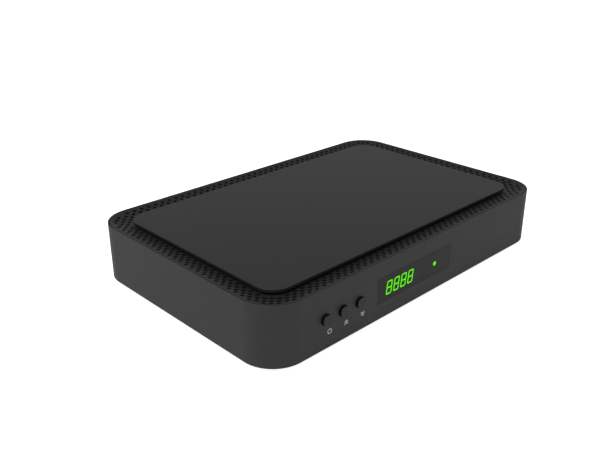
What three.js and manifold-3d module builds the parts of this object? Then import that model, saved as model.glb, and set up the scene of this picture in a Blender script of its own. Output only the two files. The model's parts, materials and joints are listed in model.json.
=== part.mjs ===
// A compact set-top recorder: a low black case with a dished, ventilated cover, a raised top plate,
// a smoked display window, three round front buttons, a connector row at the back, and the boards
// and the 2.5 inch disk drive that it holds. Millimetres. X runs along the front, the front faces
// -Y, Z is up. The recorder is drawn about the middle of its case, and then moved so that the
// origin lies under the middle of its whole envelope, on the surface that the feet stand on.
import * as THREE from "three";
import { mergeVertices } from "three/addons/utils/BufferGeometryUtils.js";
import Module from "manifold-3d";

const wasm = await Module();
wasm.setup();

// ------------------------------------------------------------------------- driving dimensions
const SEAT = 0.05; // joint line between faces that rest on each other
const FIT = 0.3; // running or assembly clearance round a piece
const OVERLAP = 0.5; // how far a rib or boss reaches into what it grows from
const PAST = 1; // how far a cut runs past the face it opens

const CASE_WIDTH = 240;
const CASE_DEPTH = 157;
const CASE_HEIGHT = 35.3; // underside of the floor to the rim
const CASE_CORNER = 20;
const CORNER_STEPS = 10;
const WALL = 2.2;
const FLOOR = 2;
const EDGE_ROUND = 0.5;
const RIM = 0.6; // wall left standing outside the cover
const RIM_CHAMFER = 0.2;
const GROOVE = 0.25; // shadow line between rim and cover

const COVER_SKIN = 1.8;
const LAND = 1.3; // flat border of the cover, from the outside of the case
const DISH_RUN = 12.6;
const DISH_DROP = 2.5;
const DISH_STEPS = 5;
const TONGUE = 1.2; // rib that lines the cover up inside the wall
const TONGUE_DROP = 2.5;

const PLATE_MARGIN = 13.1; // from the outside of the case to the plate
const PLATE_CORNER = 11.7;
const PLATE_THICK = 1.7;
const PLATE_CHAMFER = 0.15;
const PLATE_RISE = 0.55; // above the rim
const PEG_RADIUS = 1.5;
const PEG_BOSS = 3;
const PEG_HEAD = { radius: 2.5, height: 0.8 };
const PEG_INSET = [22, 18];

const FOOT_PROUD = 2;
const FOOT_RADIUS = 7;
const FOOT_EDGE = 0.6;
const FOOT_POCKET = 0.8;
const FOOT_INSET = 22.3;

const CASE_SCREW = { radius: 1.5, length: 12, head: 2.75, headHeight: 2 };
const CASE_SCREW_INSET = 14;
const COUNTERBORE = 4.5;
const BOSS_HEIGHT = 8;
const BOSS_RADIUS = 4.5;
const POST_RADIUS = 3.5;
const POST_OVERLAP = 0.8;
const FLOOR_SLOT = { width: 2.6, length: 34, pitch: 8, aside: 5, bank: 22 };

const BOARD_LIFT = 5; // main board above the floor
const BOARD_THICK = 1.6;
const BOARD_SCREW = { radius: 1.25, length: 5.5, head: 2.3, headHeight: 1.6 };
const BOARD_SCREW_INSET = 5;
const BOARD_SCREW_ROWS = 78; // from the front edge of the board to its second row of screws
const BOARD_SETBACK = 21; // from the front board's face to the main board
const STANDOFF_RADIUS = 3;

const WINDOW_THICK = 1;
const WINDOW_LEDGE = 1.5;
const WINDOW_MARGIN = { left: 3.6, right: 1.3, height: 1 }; // from the lit parts to the ledge
const WINDOW_GAP = 0.1;
// `drop` is how far a part lies below the middle line of the front.
const DISPLAY = { width: 30.2, height: 10.4, depth: 8, x: -23, drop: 0.8, rim: 5, tub: 3 };
const LED = { radius: 1.8, flange: 2.2, x: 7.1, drop: 0.2 };
const RECEIVER = { width: 6, height: 7, depth: 5, x: 16.5, lens: 2.4, bulge: 1.6 };
const RECEIVER_LEG = { width: 0.6, pitch: 2, top: -2.4, bottom: -3 };
const FRONT_BOARD = { left: -92, right: 28, thick: 1.6, lift: 2.5, headroom: 6.3 };
const FRONT_BOARD_NOTCH = { inset: 12, width: 10, deep: 3 };
const GUIDE = { width: 5, depth: 6, height: 16, slot: 3 }; // uprights that hold the front board

const BUTTON_RADIUS = 3.05;
const BUTTON_GAP = 0.25;
const BUTTON_PROUD = 1.7;
const BUTTON_EDGE = 0.35;
const BUTTON_FLANGE = { wider: 1.15, thick: 1, behind: 0.1 }; // wider than the cap, behind the wall
const BUTTON_PITCH = 12.7;
const FIRST_BUTTON = -82.8;
const BUTTON_NAMES = ["power", "channel_up", "channel_down"];
const PLUNGER_RADIUS = 1.5;
const SWITCH = { side: 6, height: 3.45, well: 1.2, entry: 0.35 };

const DRIVE = { width: 69.85, length: 100, corner: 3, board: 0.8, base: 7.15, lid: 1.5 };
const DRIVE_SIDE = 19.5; // from the side of the case to the drive
const DRIVE_LIFT = 2.05; // underside of the drive above the top of its supports
const PLATTER = { radius: 32.5, bore: 10.3, thick: 0.8, y: -15 };
const SPINDLE_RADIUS = 10;
const ARM = { x: -16.4, y: 30, reach: 40, hub: 5, parked: -26.3, thick: 0.8 };
const ARM_BLADE = [4, 2, 1]; // half widths at the hub, past the middle, and at the tip
const ARM_COIL = { length: 9, near: 3, far: 4, deep: 1 };
const ARM_HUB_HEIGHT = 4.8;
const DRIVE_HOLLOW = { floor: 1.65, platterLift: 1.9, platterGap: 1.1, halfWidth: 28, back: 6 };
const DRIVE_BOARD = { halfWidth: 32, front: -48, back: 20 };
const HUB_STEP = 2;
const HUB_HEIGHT = 3.6;
const BRACKET_SHEET = 1;
const BRACKET_FLANGE = 9;
const BRACKET_GAP = 0.15; // from the drive to each flange
const BRACKET_SEAT = 1.5; // above the floor
const BRACKET_WINDOW = [40, 70];
const STAKE = { inset: [7, 6], seat: 3.5, pin: 1.3, head: 2.2, headHeight: 0.7, hole: 1.6 };
const DRIVE_SCREW = { radius: 1.5, length: 3.2, head: 2.75, headHeight: 1.4 };
const DRIVE_SCREW_Y = [36, -40.6]; // the holes that every 2.5 inch drive has in its sides
const DRIVE_SCREW_Z = 3;

const PANEL_THICK = 1;
const PANEL_LEDGE = 1.5;
const PANEL_GAP = 0.2;
const PANEL_MARGIN = 1.6;
const PANEL_HEIGHT = 22;
const PANEL_DROP = 4; // below the main board's top
const PANEL_SINK = 0.15; // below the case's back face
const ROW_START = 2.5; // from the main board's left edge to the first socket
const CONNECTOR_GAP = 3.6;
const CONNECTOR_PROUD = 0.25; // beyond the panel's face
const CONNECTORS = [
  { name: "dc_jack", width: 9, height: 11, depth: 14 },
  { name: "av_jack", width: 6.5, height: 6.5, depth: 12 },
  { name: "optical_audio_port", width: 9.7, height: 10, depth: 13.5 },
  { name: "hdmi_port", width: 15, height: 6.2, depth: 11.5 },
  { name: "usb_port", width: 14.5, height: 7, depth: 14 },
  { name: "ethernet_jack", width: 16, height: 13.4, depth: 21 },
];
const DC = { bore: 3.1, deep: 9, pin: 1, root: -10 };
const AV = { bore: 1.8, deep: 11 };
const HDMI = { halfWidth: 6.95, shoulder: 5.4, top: 2.2, bevel: -0.6, deep: 9, tongue: [11, 0.9, 0.3] };
const USB = { width: 12.5, height: 5.1, deep: 11, tongue: [11.1, 0.3, 2] };
const TONGUE_ROOT = { hdmi: -10, usb: -11.5 };
const TONGUE_SINK = 1; // a tongue or pin ends this far inside the mouth
const NETWORK = { deep: 13, steps: [[11.8, [3.6, 11]], [6.2, [2, 4]], [3.6, [1, 3]]] };
const TUNER = { width: 30, height: 14, depth: 37 };
const CRIMP = { width: 2, inset: 4, deep: 0.5 };
const ANTENNA = { radius: 4.7, flange: 6, proud: 8, spacing: 16, bore: 0.7, boreStart: 2 };
const ANTENNA_EDGE = 0.6;
const ANTENNA_WALL = 1.4;
const ANTENNA_FACE = 0.5; // the insulator's face below the rim
const FLAP = { side: 6, thick: 0.8, pin: 0.5 };
const OPTICAL_BORE = { side: 6.6, depth: 9 };

const PROCESSOR = { side: 21, height: 1.4, x: 64, y: 40 };
const PAD = { height: 0.8, inset: 1.5 };
const SINK = { side: 36, base: 2.5, fins: 9, fin: 1.2, height: 10 };
const CHIPS = [
  { name: "memory_chip_1", size: [9, 13, 1.2], at: [96, 30] },
  { name: "memory_chip_2", size: [9, 13, 1.2], at: [96, 50] },
  { name: "flash_chip", size: [12, 18, 1.2], at: [32, 24] },
];
const INDUCTOR = { side: 12, corner: 2.5, height: 6, at: [14, 66] };
const CAPACITOR = { radius: 4, height: 12, grooveZ: 1.9, groove: 0.4, edge: 0.5 };
const CAPACITOR_PLACES = [
  [14, 30],
  [14, 44],
];
const RIBBON = { width: 12, thick: 0.5, x: 32, before: 3, onBoard: 6 };
const RIBBON_BEND = [[0.25, 5], [0.6, 2.4], [2.2, 0.7], [5, 0.2]]; // behind the front board, up
const CABLE = { halfWidth: 20, depth: 6, plug: [1, 6], header: 6, over: 7, thick: 1, lift: 2.5 };

// ------------------------------------------------------------------------------ derived places
const UNDERSIDE = FOOT_PROUD;
const FLOOR_TOP = UNDERSIDE + FLOOR;
const RIM_Z = UNDERSIDE + CASE_HEIGHT;
const LEDGE_Z = RIM_Z - COVER_SKIN - SEAT;
const COVER_EDGE = RIM + GROOVE;
const DECK_Z = RIM_Z - DISH_DROP;
const FRONT = -CASE_DEPTH / 2;
const FRONT_INSIDE = FRONT + WALL;
const BACK = CASE_DEPTH / 2;
const BACK_INSIDE = BACK - WALL;
const MIDDLE_Z = UNDERSIDE + CASE_HEIGHT / 2;
const BOARD_Z = FLOOR_TOP + BOARD_LIFT;
const BOARD_TOP = BOARD_Z + BOARD_THICK;
const FACE_Y = FRONT + WINDOW_THICK + FIT; // faces of the display, lamp and receiver
const FRONT_BOARD_Y = FACE_Y + DISPLAY.depth + SEAT;
const DRIVE_X = -CASE_WIDTH / 2 + DRIVE_SIDE + DRIVE.width / 2;
const BRACKET_Z = FLOOR_TOP + BRACKET_SEAT + SEAT;
const DRIVE_Z = BRACKET_Z + DRIVE_LIFT;
const BOARD_LEFT = DRIVE_X + DRIVE.width / 2 + 4;
const BOARD_RIGHT = CASE_WIDTH / 2 - DRIVE_SIDE;
const BOARD_FRONT = FRONT_BOARD_Y + BOARD_SETBACK;
const BOARD_BACK = BACK_INSIDE - FIT;
const PANEL_Y = BACK - PANEL_THICK - PANEL_SINK;
const PANEL_Z = BOARD_TOP - PANEL_DROP;

// ------------------------------------------------------------------------------------- shapes
// A closed geometry as a manifold-3d solid.
function solid(geometry) {
  const bare = geometry.index ? geometry.toNonIndexed() : geometry.clone();
  bare.deleteAttribute("normal");
  bare.deleteAttribute("uv");
  const merged = mergeVertices(bare, 1e-4);
  return new wasm.Manifold(
    new wasm.Mesh({
      numProp: 3,
      vertProperties: new Float32Array(merged.attributes.position.array),
      triVerts: new Uint32Array(merged.index.array),
    }),
  );
}

function join(first, ...rest) {
  return rest.flat().reduce((whole, piece) => whole.add(piece), first);
}

function cut(first, ...rest) {
  return rest.flat().reduce((whole, piece) => whole.subtract(piece), first);
}

// A box from its lowest and highest value along each axis.
function block([x0, x1], [y0, y1], [z0, z1]) {
  const box = new THREE.BoxGeometry(x1 - x0, y1 - y0, z1 - z0);
  box.translate((x0 + x1) / 2, (y0 + y1) / 2, (z0 + z1) / 2);
  return solid(box);
}

function around(middle, size) {
  return [middle - size / 2, middle + size / 2];
}

// An upright cylinder at x, y.
function post(radius, [z0, z1], x = 0, y = 0, sides = 16) {
  const rod = new THREE.CylinderGeometry(radius, radius, z1 - z0, sides);
  rod.rotateX(Math.PI / 2);
  rod.translate(x, y, (z0 + z1) / 2);
  return solid(rod);
}

// A cylinder along Y at x, z.
function rod(radius, [y0, y1], x = 0, z = 0, sides = 20) {
  const bar = new THREE.CylinderGeometry(radius, radius, y1 - y0, sides);
  bar.translate(x, (y0 + y1) / 2, z);
  return solid(bar);
}

// A turned piece about Z: a profile of [radius, z] points from the lower axis point to the upper.
function turned(profile, sides = 24) {
  const points = profile.map(([r, z]) => new THREE.Vector2(r, z));
  const lathe = new THREE.LatheGeometry(points, sides);
  lathe.rotateX(Math.PI / 2);
  return solid(lathe);
}

// The same about Y, with [radius, y] points.
function turnedAlongY(profile, sides = 20) {
  const points = profile.map(([r, y]) => new THREE.Vector2(r, y));
  return solid(new THREE.LatheGeometry(points, sides));
}

// A solid whose every level is a rounded rectangle, as [inset, z] pairs that run from the middle
// of the underside outwards, up, and over to the last level. The first and last are closed flat.
function loft(width, depth, corner, profile, steps = CORNER_STEPS) {
  const positions = [];
  const count = 4 * (steps + 1);
  for (const [inset, z] of profile) {
    const radius = corner - inset;
    for (let quarter = 0; quarter < 4; quarter++) {
      const sideX = quarter === 0 || quarter === 3 ? 1 : -1;
      const sideY = quarter < 2 ? 1 : -1;
      for (let step = 0; step <= steps; step++) {
        const angle = ((quarter + step / steps) * Math.PI) / 2;
        positions.push(
          sideX * (width / 2 - corner) + radius * Math.cos(angle),
          sideY * (depth / 2 - corner) + radius * Math.sin(angle),
          z,
        );
      }
    }
  }
  const index = [];
  const last = (profile.length - 1) * count;
  for (let level = 0; level < profile.length - 1; level++) {
    for (let i = 0; i < count; i++) {
      const a = level * count + i;
      const b = level * count + ((i + 1) % count);
      index.push(a, b, b + count, a, b + count, a + count);
    }
  }
  for (let i = 1; i < count - 1; i++) {
    index.push(0, i + 1, i);
    index.push(last, last + i, last + i + 1);
  }
  const geometry = new THREE.BufferGeometry();
  geometry.setAttribute("position", new THREE.Float32BufferAttribute(positions, 3));
  geometry.setIndex(index);
  return solid(geometry);
}

// A flat plate with round corners and a small chamfer round both faces.
function slab(width, depth, corner, [z0, z1], chamfer = 0.2, steps = 6) {
  return loft(
    width,
    depth,
    corner,
    [
      [chamfer, z0],
      [0, z0 + chamfer],
      [0, z1 - chamfer],
      [chamfer, z1],
    ],
    steps,
  );
}

// A flat outline of [x, y] points, raised from z0 to z1.
function raised(outline, [z0, z1]) {
  const shape = new THREE.Shape(outline.map(([x, y]) => new THREE.Vector2(x, y)));
  const geometry = new THREE.ExtrudeGeometry(shape, { depth: z1 - z0, bevelEnabled: false });
  geometry.translate(0, 0, z0);
  return solid(geometry);
}

// A flat strip of even thickness along a bent line of [u, v] points.
function stripOutline(line, thickness) {
  const sides = [[], []];
  line.forEach(([u, v], i) => {
    const [pu, pv] = line[Math.max(i - 1, 0)];
    const [nu, nv] = line[Math.min(i + 1, line.length - 1)];
    const length = Math.hypot(nu - pu, nv - pv);
    const offset = [-(nv - pv) / length, (nu - pu) / length];
    for (const [side, sign] of [[0, 1], [1, -1]]) {
      const away = (sign * thickness) / 2;
      sides[side].push([u + away * offset[0], v + away * offset[1]]);
    }
  });
  return [...sides[0], ...sides[1].reverse()];
}

// A pan-head screw that points up, with the seat of its head at z = 0 and a cross recess.
function screw({ radius, length, head, headHeight }) {
  const slot = radius * 1.5;
  const body = turned(
    [
      [0, -headHeight],
      [head - 0.4, -headHeight],
      [head, -headHeight + 0.5],
      [head, 0],
      [radius, 0],
      [radius, length - 0.8],
      [radius - 0.8, length],
      [0, length],
    ],
    12,
  );
  const depth = [-headHeight - 1, -headHeight * 0.45];
  return cut(
    body,
    block(around(0, 2 * slot), around(0, 0.6), depth),
    block(around(0, 0.6), around(0, 2 * slot), depth),
  );
}

// ------------------------------------------------------------------------- finishes and nodes
const FINISH = {
  case: { color: 0x2a2a2b, roughness: 0.48, metalness: 0 },
  plate: { color: 0x1f1f20, roughness: 0.4, metalness: 0 },
  window: { color: 0x141416, roughness: 0.12, metalness: 0 },
  cap: { color: 0x262627, roughness: 0.5, metalness: 0 },
  rubber: { color: 0x161616, roughness: 0.85, metalness: 0 },
  steel: { color: 0xb8bbbf, roughness: 0.3, metalness: 1 },
  blackSteel: { color: 0x222224, roughness: 0.45, metalness: 1 },
  aluminium: { color: 0xc9ccd0, roughness: 0.35, metalness: 1 },
  brass: { color: 0xc9a45c, roughness: 0.3, metalness: 1 },
  board: { color: 0x1d5a34, roughness: 0.5, metalness: 0 },
  chip: { color: 0x202124, roughness: 0.55, metalness: 0 },
  plastic: { color: 0x111112, roughness: 0.4, metalness: 0 },
  pad: { color: 0x9aa7b5, roughness: 0.9, metalness: 0 },
  ribbon: { color: 0xd8d8d2, roughness: 0.6, metalness: 0 },
  lamp: { color: 0x70ff20, roughness: 0.25, metalness: 0 },
  platter: { color: 0xd6d8dc, roughness: 0.06, metalness: 1 },
};

function place(parent, name, shape, finish, [x, y, z] = [0, 0, 0]) {
  const { numProp, numVert, vertProperties, triVerts } = shape.getMesh();
  const positions = new Float32Array(numVert * 3);
  for (let i = 0; i < numVert; i++) {
    positions.set(vertProperties.subarray(i * numProp, i * numProp + 3), i * 3);
  }
  const geometry = new THREE.BufferGeometry();
  geometry.setAttribute("position", new THREE.BufferAttribute(positions, 3));
  geometry.setIndex(new THREE.BufferAttribute(triVerts, 1));
  geometry.computeVertexNormals();
  const mesh = new THREE.Mesh(geometry, new THREE.MeshStandardMaterial(FINISH[finish]));
  mesh.name = name;
  mesh.position.set(x, y, z);
  parent.add(mesh);
  return mesh;
}

// The four corners of a centred rectangle, front left first, going round.
function corners(halfX, halfY) {
  return [
    [-halfX, -halfY],
    [halfX, -halfY],
    [halfX, halfY],
    [-halfX, halfY],
  ];
}

// The buttons and the antenna sockets reach unequally past the case, so the envelope's middle
// lies behind the case's.
const envelopeFront = FRONT - BUTTON_PROUD;
const envelopeBack = PANEL_Y + PANEL_THICK + ANTENNA.proud;
const recorder = new THREE.Group();
recorder.position.y = -(envelopeFront + envelopeBack) / 2;

// -------------------------------------------------------------------------------- shared places
const caseScrewPlaces = corners(
  CASE_WIDTH / 2 - CASE_SCREW_INSET,
  CASE_DEPTH / 2 - CASE_SCREW_INSET,
);
const footPlaces = corners(CASE_WIDTH / 2 - FOOT_INSET, CASE_DEPTH / 2 - FOOT_INSET);
const boardScrewPlaces = [
  [BOARD_LEFT + BOARD_SCREW_INSET, BOARD_FRONT + BOARD_SCREW_INSET],
  [BOARD_RIGHT - BOARD_SCREW_INSET, BOARD_FRONT + BOARD_SCREW_INSET],
  [BOARD_RIGHT - BOARD_SCREW_INSET, BOARD_FRONT + BOARD_SCREW_ROWS],
  [BOARD_LEFT + BOARD_SCREW_INSET, BOARD_FRONT + BOARD_SCREW_ROWS],
];
const stakePlaces = corners(DRIVE.width / 2 - STAKE.inset[0], DRIVE.length / 2 - STAKE.inset[1]);
const buttonPlaces = BUTTON_NAMES.map((_, i) => FIRST_BUTTON + i * BUTTON_PITCH);
const windowX = [
  DISPLAY.x - DISPLAY.width / 2 - WINDOW_MARGIN.left - WINDOW_LEDGE,
  RECEIVER.x + RECEIVER.width / 2 + WINDOW_MARGIN.right + WINDOW_LEDGE,
];
const windowZ = around(MIDDLE_Z, DISPLAY.height + 2 * (WINDOW_LEDGE + WINDOW_MARGIN.height));

const rowLeft = BOARD_LEFT + ROW_START;
let rowRight = rowLeft;
const sockets = CONNECTORS.map((socket) => {
  const x = rowRight + socket.width / 2;
  rowRight += socket.width + CONNECTOR_GAP;
  return { ...socket, x };
});
const tunerX = rowRight + TUNER.width / 2;
const antennaPlaces = [tunerX - ANTENNA.spacing / 2, tunerX + ANTENNA.spacing / 2];
const antennaZ = BOARD_TOP + TUNER.height / 2;
const panelX = [rowLeft - PANEL_MARGIN, rowRight + TUNER.width + PANEL_MARGIN];
const panelZ = [PANEL_Z, PANEL_Z + PANEL_HEIGHT];
const socketFace = PANEL_Y + PANEL_THICK + CONNECTOR_PROUD;

function widened([low, high], by) {
  return [low - by, high + by];
}

// ----------------------------------------------------------------------------------- the case
// The floor's cooling slots lie in two banks under the main board, clear of the standoffs.
function floorSlots() {
  const { width, length, pitch, aside, bank } = FLOOR_SLOT;
  const slots = [];
  const boardMiddle = (BOARD_LEFT + BOARD_RIGHT) / 2;
  for (const bankY of [-bank, bank]) {
    for (let i = -aside; i <= aside; i++) {
      const x = boardMiddle + i * pitch;
      slots.push(block(around(x, width), around(bankY, length), [-PAST, FLOOR_TOP + PAST]));
    }
  }
  return slots;
}

// A slotted upright that holds one end of the front board.
function boardGuide(x, facing) {
  const { width, depth, height, slot } = GUIDE;
  const upright = block(
    around(x, width),
    around(FRONT_BOARD_Y + FRONT_BOARD.thick / 2, depth),
    [FLOOR_TOP - OVERLAP, FLOOR_TOP + height],
  );
  const slotX = facing > 0 ? [x - OVERLAP, x + slot] : [x - slot, x + OVERLAP];
  const slotY = around(FRONT_BOARD_Y + FRONT_BOARD.thick / 2, FRONT_BOARD.thick + 2 * FIT);
  const slotZ = [FLOOR_TOP + FRONT_BOARD.lift - FIT, FLOOR_TOP + height + PAST];
  return cut(upright, block(slotX, slotY, slotZ));
}

function caseBase() {
  const shell = loft(CASE_WIDTH, CASE_DEPTH, CASE_CORNER, [
    [EDGE_ROUND, UNDERSIDE],
    [0, UNDERSIDE + EDGE_ROUND],
    [0, RIM_Z - RIM_CHAMFER],
    [RIM_CHAMFER, RIM_Z],
    [RIM, RIM_Z],
    [RIM, LEDGE_Z],
    [WALL, LEDGE_Z],
    [WALL, FLOOR_TOP],
  ]);
  const root = FLOOR_TOP - OVERLAP;
  const bracketSeat = BRACKET_Z - SEAT;
  const stakeHead = BRACKET_Z + BRACKET_SHEET + SEAT;
  const stakePinTop = stakeHead + STAKE.headHeight / 2;
  const stakeTop = stakeHead + STAKE.headHeight;
  const tub = join(
    shell,
    caseScrewPlaces.map(([x, y]) => post(BOSS_RADIUS, [root, UNDERSIDE + BOSS_HEIGHT], x, y)),
    boardScrewPlaces.map(([x, y]) => post(STANDOFF_RADIUS, [root, BOARD_Z - SEAT], x, y)),
    stakePlaces.map(([x, y]) => post(STAKE.seat, [root, bracketSeat], DRIVE_X + x, y)),
    stakePlaces.map(([x, y]) => post(STAKE.pin, [root, stakePinTop], DRIVE_X + x, y, 12)),
    stakePlaces.map(([x, y]) => post(STAKE.head, [stakeHead, stakeTop], DRIVE_X + x, y, 12)),
    boardGuide(FRONT_BOARD.left, 1),
    boardGuide(FRONT_BOARD.right, -1),
  );
  const outside = FRONT - PAST;
  return cut(
    tub,
    caseScrewPlaces.map(([x, y]) =>
      join(
        post(CASE_SCREW.head + FIT, [0, UNDERSIDE + COUNTERBORE], x, y),
        post(CASE_SCREW.radius + FIT, [0, UNDERSIDE + BOSS_HEIGHT + PAST], x, y),
      ),
    ),
    boardScrewPlaces.map(([x, y]) =>
      post(BOARD_SCREW.radius + FIT, [FLOOR_TOP + FIT, BOARD_Z + PAST], x, y, 12),
    ),
    footPlaces.map(([x, y]) =>
      post(FOOT_RADIUS + FIT, [0, UNDERSIDE + FOOT_POCKET], x, y, 24),
    ),
    floorSlots(),
    block(windowX, [outside, FRONT + WINDOW_THICK + SEAT], windowZ),
    block(
      widened(windowX, -WINDOW_LEDGE),
      [outside, FRONT_INSIDE + PAST],
      widened(windowZ, -WINDOW_LEDGE),
    ),
    buttonPlaces.map((x) =>
      rod(BUTTON_RADIUS + BUTTON_GAP, [outside, FRONT_INSIDE + PAST], x, MIDDLE_Z, 28),
    ),
    block(
      widened(panelX, PANEL_GAP),
      [PANEL_Y - SEAT, BACK + PAST],
      widened(panelZ, PANEL_GAP),
    ),
    block(
      widened(panelX, -PANEL_LEDGE),
      [BACK_INSIDE - PAST, BACK + PAST],
      widened(panelZ, -PANEL_LEDGE),
    ),
  );
}

// The dish falls away from the land, steeply at first, and is level under the plate.
function dishZ(inset) {
  const part = THREE.MathUtils.clamp((inset - LAND) / DISH_RUN, 0, 1);
  return RIM_Z - DISH_DROP * part * (2 - part);
}

function topCover() {
  const tongueOut = WALL + FIT;
  const tongueIn = tongueOut + TONGUE;
  const under = (inset) => dishZ(inset) - COVER_SKIN;
  const edgeZ = RIM_Z - COVER_SKIN;
  const dish = [];
  for (let i = 0; i <= DISH_STEPS; i++) dish.push(LAND + (DISH_RUN * i) / DISH_STEPS);
  const inside = dish.filter((inset) => inset > tongueIn + OVERLAP).reverse();
  const skin = loft(CASE_WIDTH, CASE_DEPTH, CASE_CORNER, [
    ...inside.map((inset) => [inset, under(inset)]),
    [tongueIn, under(tongueIn)],
    [tongueIn, edgeZ - TONGUE_DROP],
    [tongueOut, edgeZ - TONGUE_DROP],
    [tongueOut, edgeZ],
    [COVER_EDGE, edgeZ],
    [COVER_EDGE, RIM_Z - RIM_CHAMFER],
    [COVER_EDGE + RIM_CHAMFER, RIM_Z],
    ...dish.map((inset) => [inset, dishZ(inset)]),
  ]);
  const postFoot = UNDERSIDE + BOSS_HEIGHT + FIT;
  const postTop = under(CASE_SCREW_INSET) + POST_OVERLAP;
  const screwTip = UNDERSIDE + COUNTERBORE + CASE_SCREW.length;
  const body = join(
    skin,
    caseScrewPlaces.map(([x, y]) => post(POST_RADIUS, [postFoot, postTop], x, y)),
  );
  return cut(
    body,
    caseScrewPlaces.map(([x, y]) =>
      post(CASE_SCREW.radius + FIT, [postFoot - PAST, screwTip + PAST], x, y),
    ),
    pegPlaces.map(([x, y]) =>
      post(PEG_RADIUS + FIT, [DECK_Z - COVER_SKIN - PAST, DECK_Z + PAST], x, y, 12),
    ),
  );
}

// The plate stands on bosses, and its pegs go through the deck and are staked over underneath.
const plateWidth = CASE_WIDTH - 2 * PLATE_MARGIN;
const plateDepth = CASE_DEPTH - 2 * PLATE_MARGIN;
const pegX = plateWidth / 2 - PEG_INSET[0];
const pegY = plateDepth / 2 - PEG_INSET[1];
const pegPlaces = [...corners(pegX, pegY), [0, -pegY], [0, pegY]];

function topPlate() {
  const top = RIM_Z + PLATE_RISE;
  const head = DECK_Z - COVER_SKIN - SEAT;
  return join(
    slab(plateWidth, plateDepth, PLATE_CORNER, [top - PLATE_THICK, top], PLATE_CHAMFER, 10),
    pegPlaces.map(([x, y]) => post(PEG_BOSS, [DECK_Z + SEAT, top - PLATE_THICK / 2], x, y, 16)),
    pegPlaces.map(([x, y]) =>
      post(PEG_RADIUS, [head - PEG_HEAD.height / 2, top - PLATE_THICK / 2], x, y, 12),
    ),
    pegPlaces.map(([x, y]) => post(PEG_HEAD.radius, [head - PEG_HEAD.height, head], x, y, 12)),
  );
}

place(recorder, "case_base", caseBase(), "case");
place(recorder, "top_cover", topCover(), "case");
place(recorder, "top_plate", topPlate(), "plate");

const footShape = turned([
  [0, 0],
  [FOOT_RADIUS - FOOT_EDGE, 0],
  [FOOT_RADIUS, FOOT_EDGE],
  [FOOT_RADIUS, UNDERSIDE + FOOT_POCKET - SEAT],
  [0, UNDERSIDE + FOOT_POCKET - SEAT],
]);
footPlaces.forEach(([x, y], i) => {
  place(recorder, `foot_${i + 1}`, footShape, "rubber", [x, y, 0]);
});
caseScrewPlaces.forEach(([x, y], i) => {
  const seat = UNDERSIDE + COUNTERBORE - SEAT;
  place(recorder, `case_screw_${i + 1}`, screw(CASE_SCREW), "blackSteel", [x, y, seat]);
});

// ---------------------------------------------------------------------------- the front panel
const front = new THREE.Group(); // origin on the middle line of the front face
front.position.set(0, FRONT, MIDDLE_Z);
recorder.add(front);
const faceY = FACE_Y - FRONT;
const boardY = FRONT_BOARD_Y - FRONT;

place(
  front,
  "display_window",
  block(
    widened(windowX, -WINDOW_GAP),
    [0, WINDOW_THICK],
    around(0, windowZ[1] - windowZ[0] - 2 * WINDOW_GAP),
  ),
  "window",
);

// The digits' block, hollow from the back as such blocks are.
function digitDisplay() {
  const { width, height, depth, rim, tub } = DISPLAY;
  return cut(
    block(around(0, width), [0, depth], around(0, height)),
    block(around(0, width - 2 * rim), [depth - tub, depth + PAST], around(0, height - rim)),
  );
}
place(front, "digit_display", digitDisplay(), "plastic", [DISPLAY.x, faceY, -DISPLAY.drop]);

// A round lamp: a dome on a barrel, with the flange that stops it on the board.
function statusLamp() {
  const { radius, flange } = LED;
  const dome = [0, 30, 60, 90].map((degrees) => {
    const angle = THREE.MathUtils.degToRad(degrees);
    return [radius * Math.sin(angle), radius * (1 - Math.cos(angle))];
  });
  const end = DISPLAY.depth;
  return turnedAlongY([...dome, [radius, end - 1], [flange, end - 1], [flange, end], [0, end]]);
}
place(front, "status_led", statusLamp(), "lamp", [LED.x, faceY, -LED.drop]);

function infraredReceiver() {
  const { width, height, depth, lens, bulge } = RECEIVER;
  const leg = RECEIVER_LEG;
  const body = block(around(0, width), [bulge, depth], around(0, height));
  const legs = [-1, 0, 1].map((i) =>
    block(around(i * leg.pitch, leg.width), [depth - PAST, DISPLAY.depth], [leg.bottom, leg.top]),
  );
  return join(body, rod(lens, [0, bulge + OVERLAP], 0, 0, 20), legs);
}
place(front, "ir_receiver", infraredReceiver(), "plastic", [RECEIVER.x, faceY, 0]);

function frontBoard() {
  const bottom = FLOOR_TOP + FRONT_BOARD.lift - MIDDLE_Z;
  const top = RIM_Z - FRONT_BOARD.headroom - MIDDLE_Z;
  const sheet = block(
    [FRONT_BOARD.left, FRONT_BOARD.right],
    [0, FRONT_BOARD.thick],
    [bottom, top],
  );
  const { inset, width, deep } = FRONT_BOARD_NOTCH;
  const notch = [FRONT_BOARD.right - inset - width, FRONT_BOARD.right - inset];
  return cut(sheet, block(notch, [-PAST, FRONT_BOARD.thick + PAST], [top - deep, top + PAST]));
}
place(front, "front_board", frontBoard(), "board", [0, boardY, 0]);

// Cap, flange and plunger in one moulding: the flange stops behind the wall, and the plunger
// reaches into the well of the switch.
function buttonCap() {
  const edge = BUTTON_EDGE;
  const wallBack = WALL + BUTTON_FLANGE.behind;
  const flangeBack = wallBack + BUTTON_FLANGE.thick;
  const tip = boardY - SEAT - SWITCH.height + SWITCH.entry;
  const flange = BUTTON_RADIUS + BUTTON_FLANGE.wider;
  return turnedAlongY(
    [
      [0, -BUTTON_PROUD],
      [BUTTON_RADIUS - edge, -BUTTON_PROUD],
      [BUTTON_RADIUS, -BUTTON_PROUD + edge],
      [BUTTON_RADIUS, wallBack],
      [flange, wallBack],
      [flange, flangeBack],
      [PLUNGER_RADIUS, flangeBack],
      [PLUNGER_RADIUS, tip],
      [0, tip],
    ],
    24,
  );
}

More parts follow.
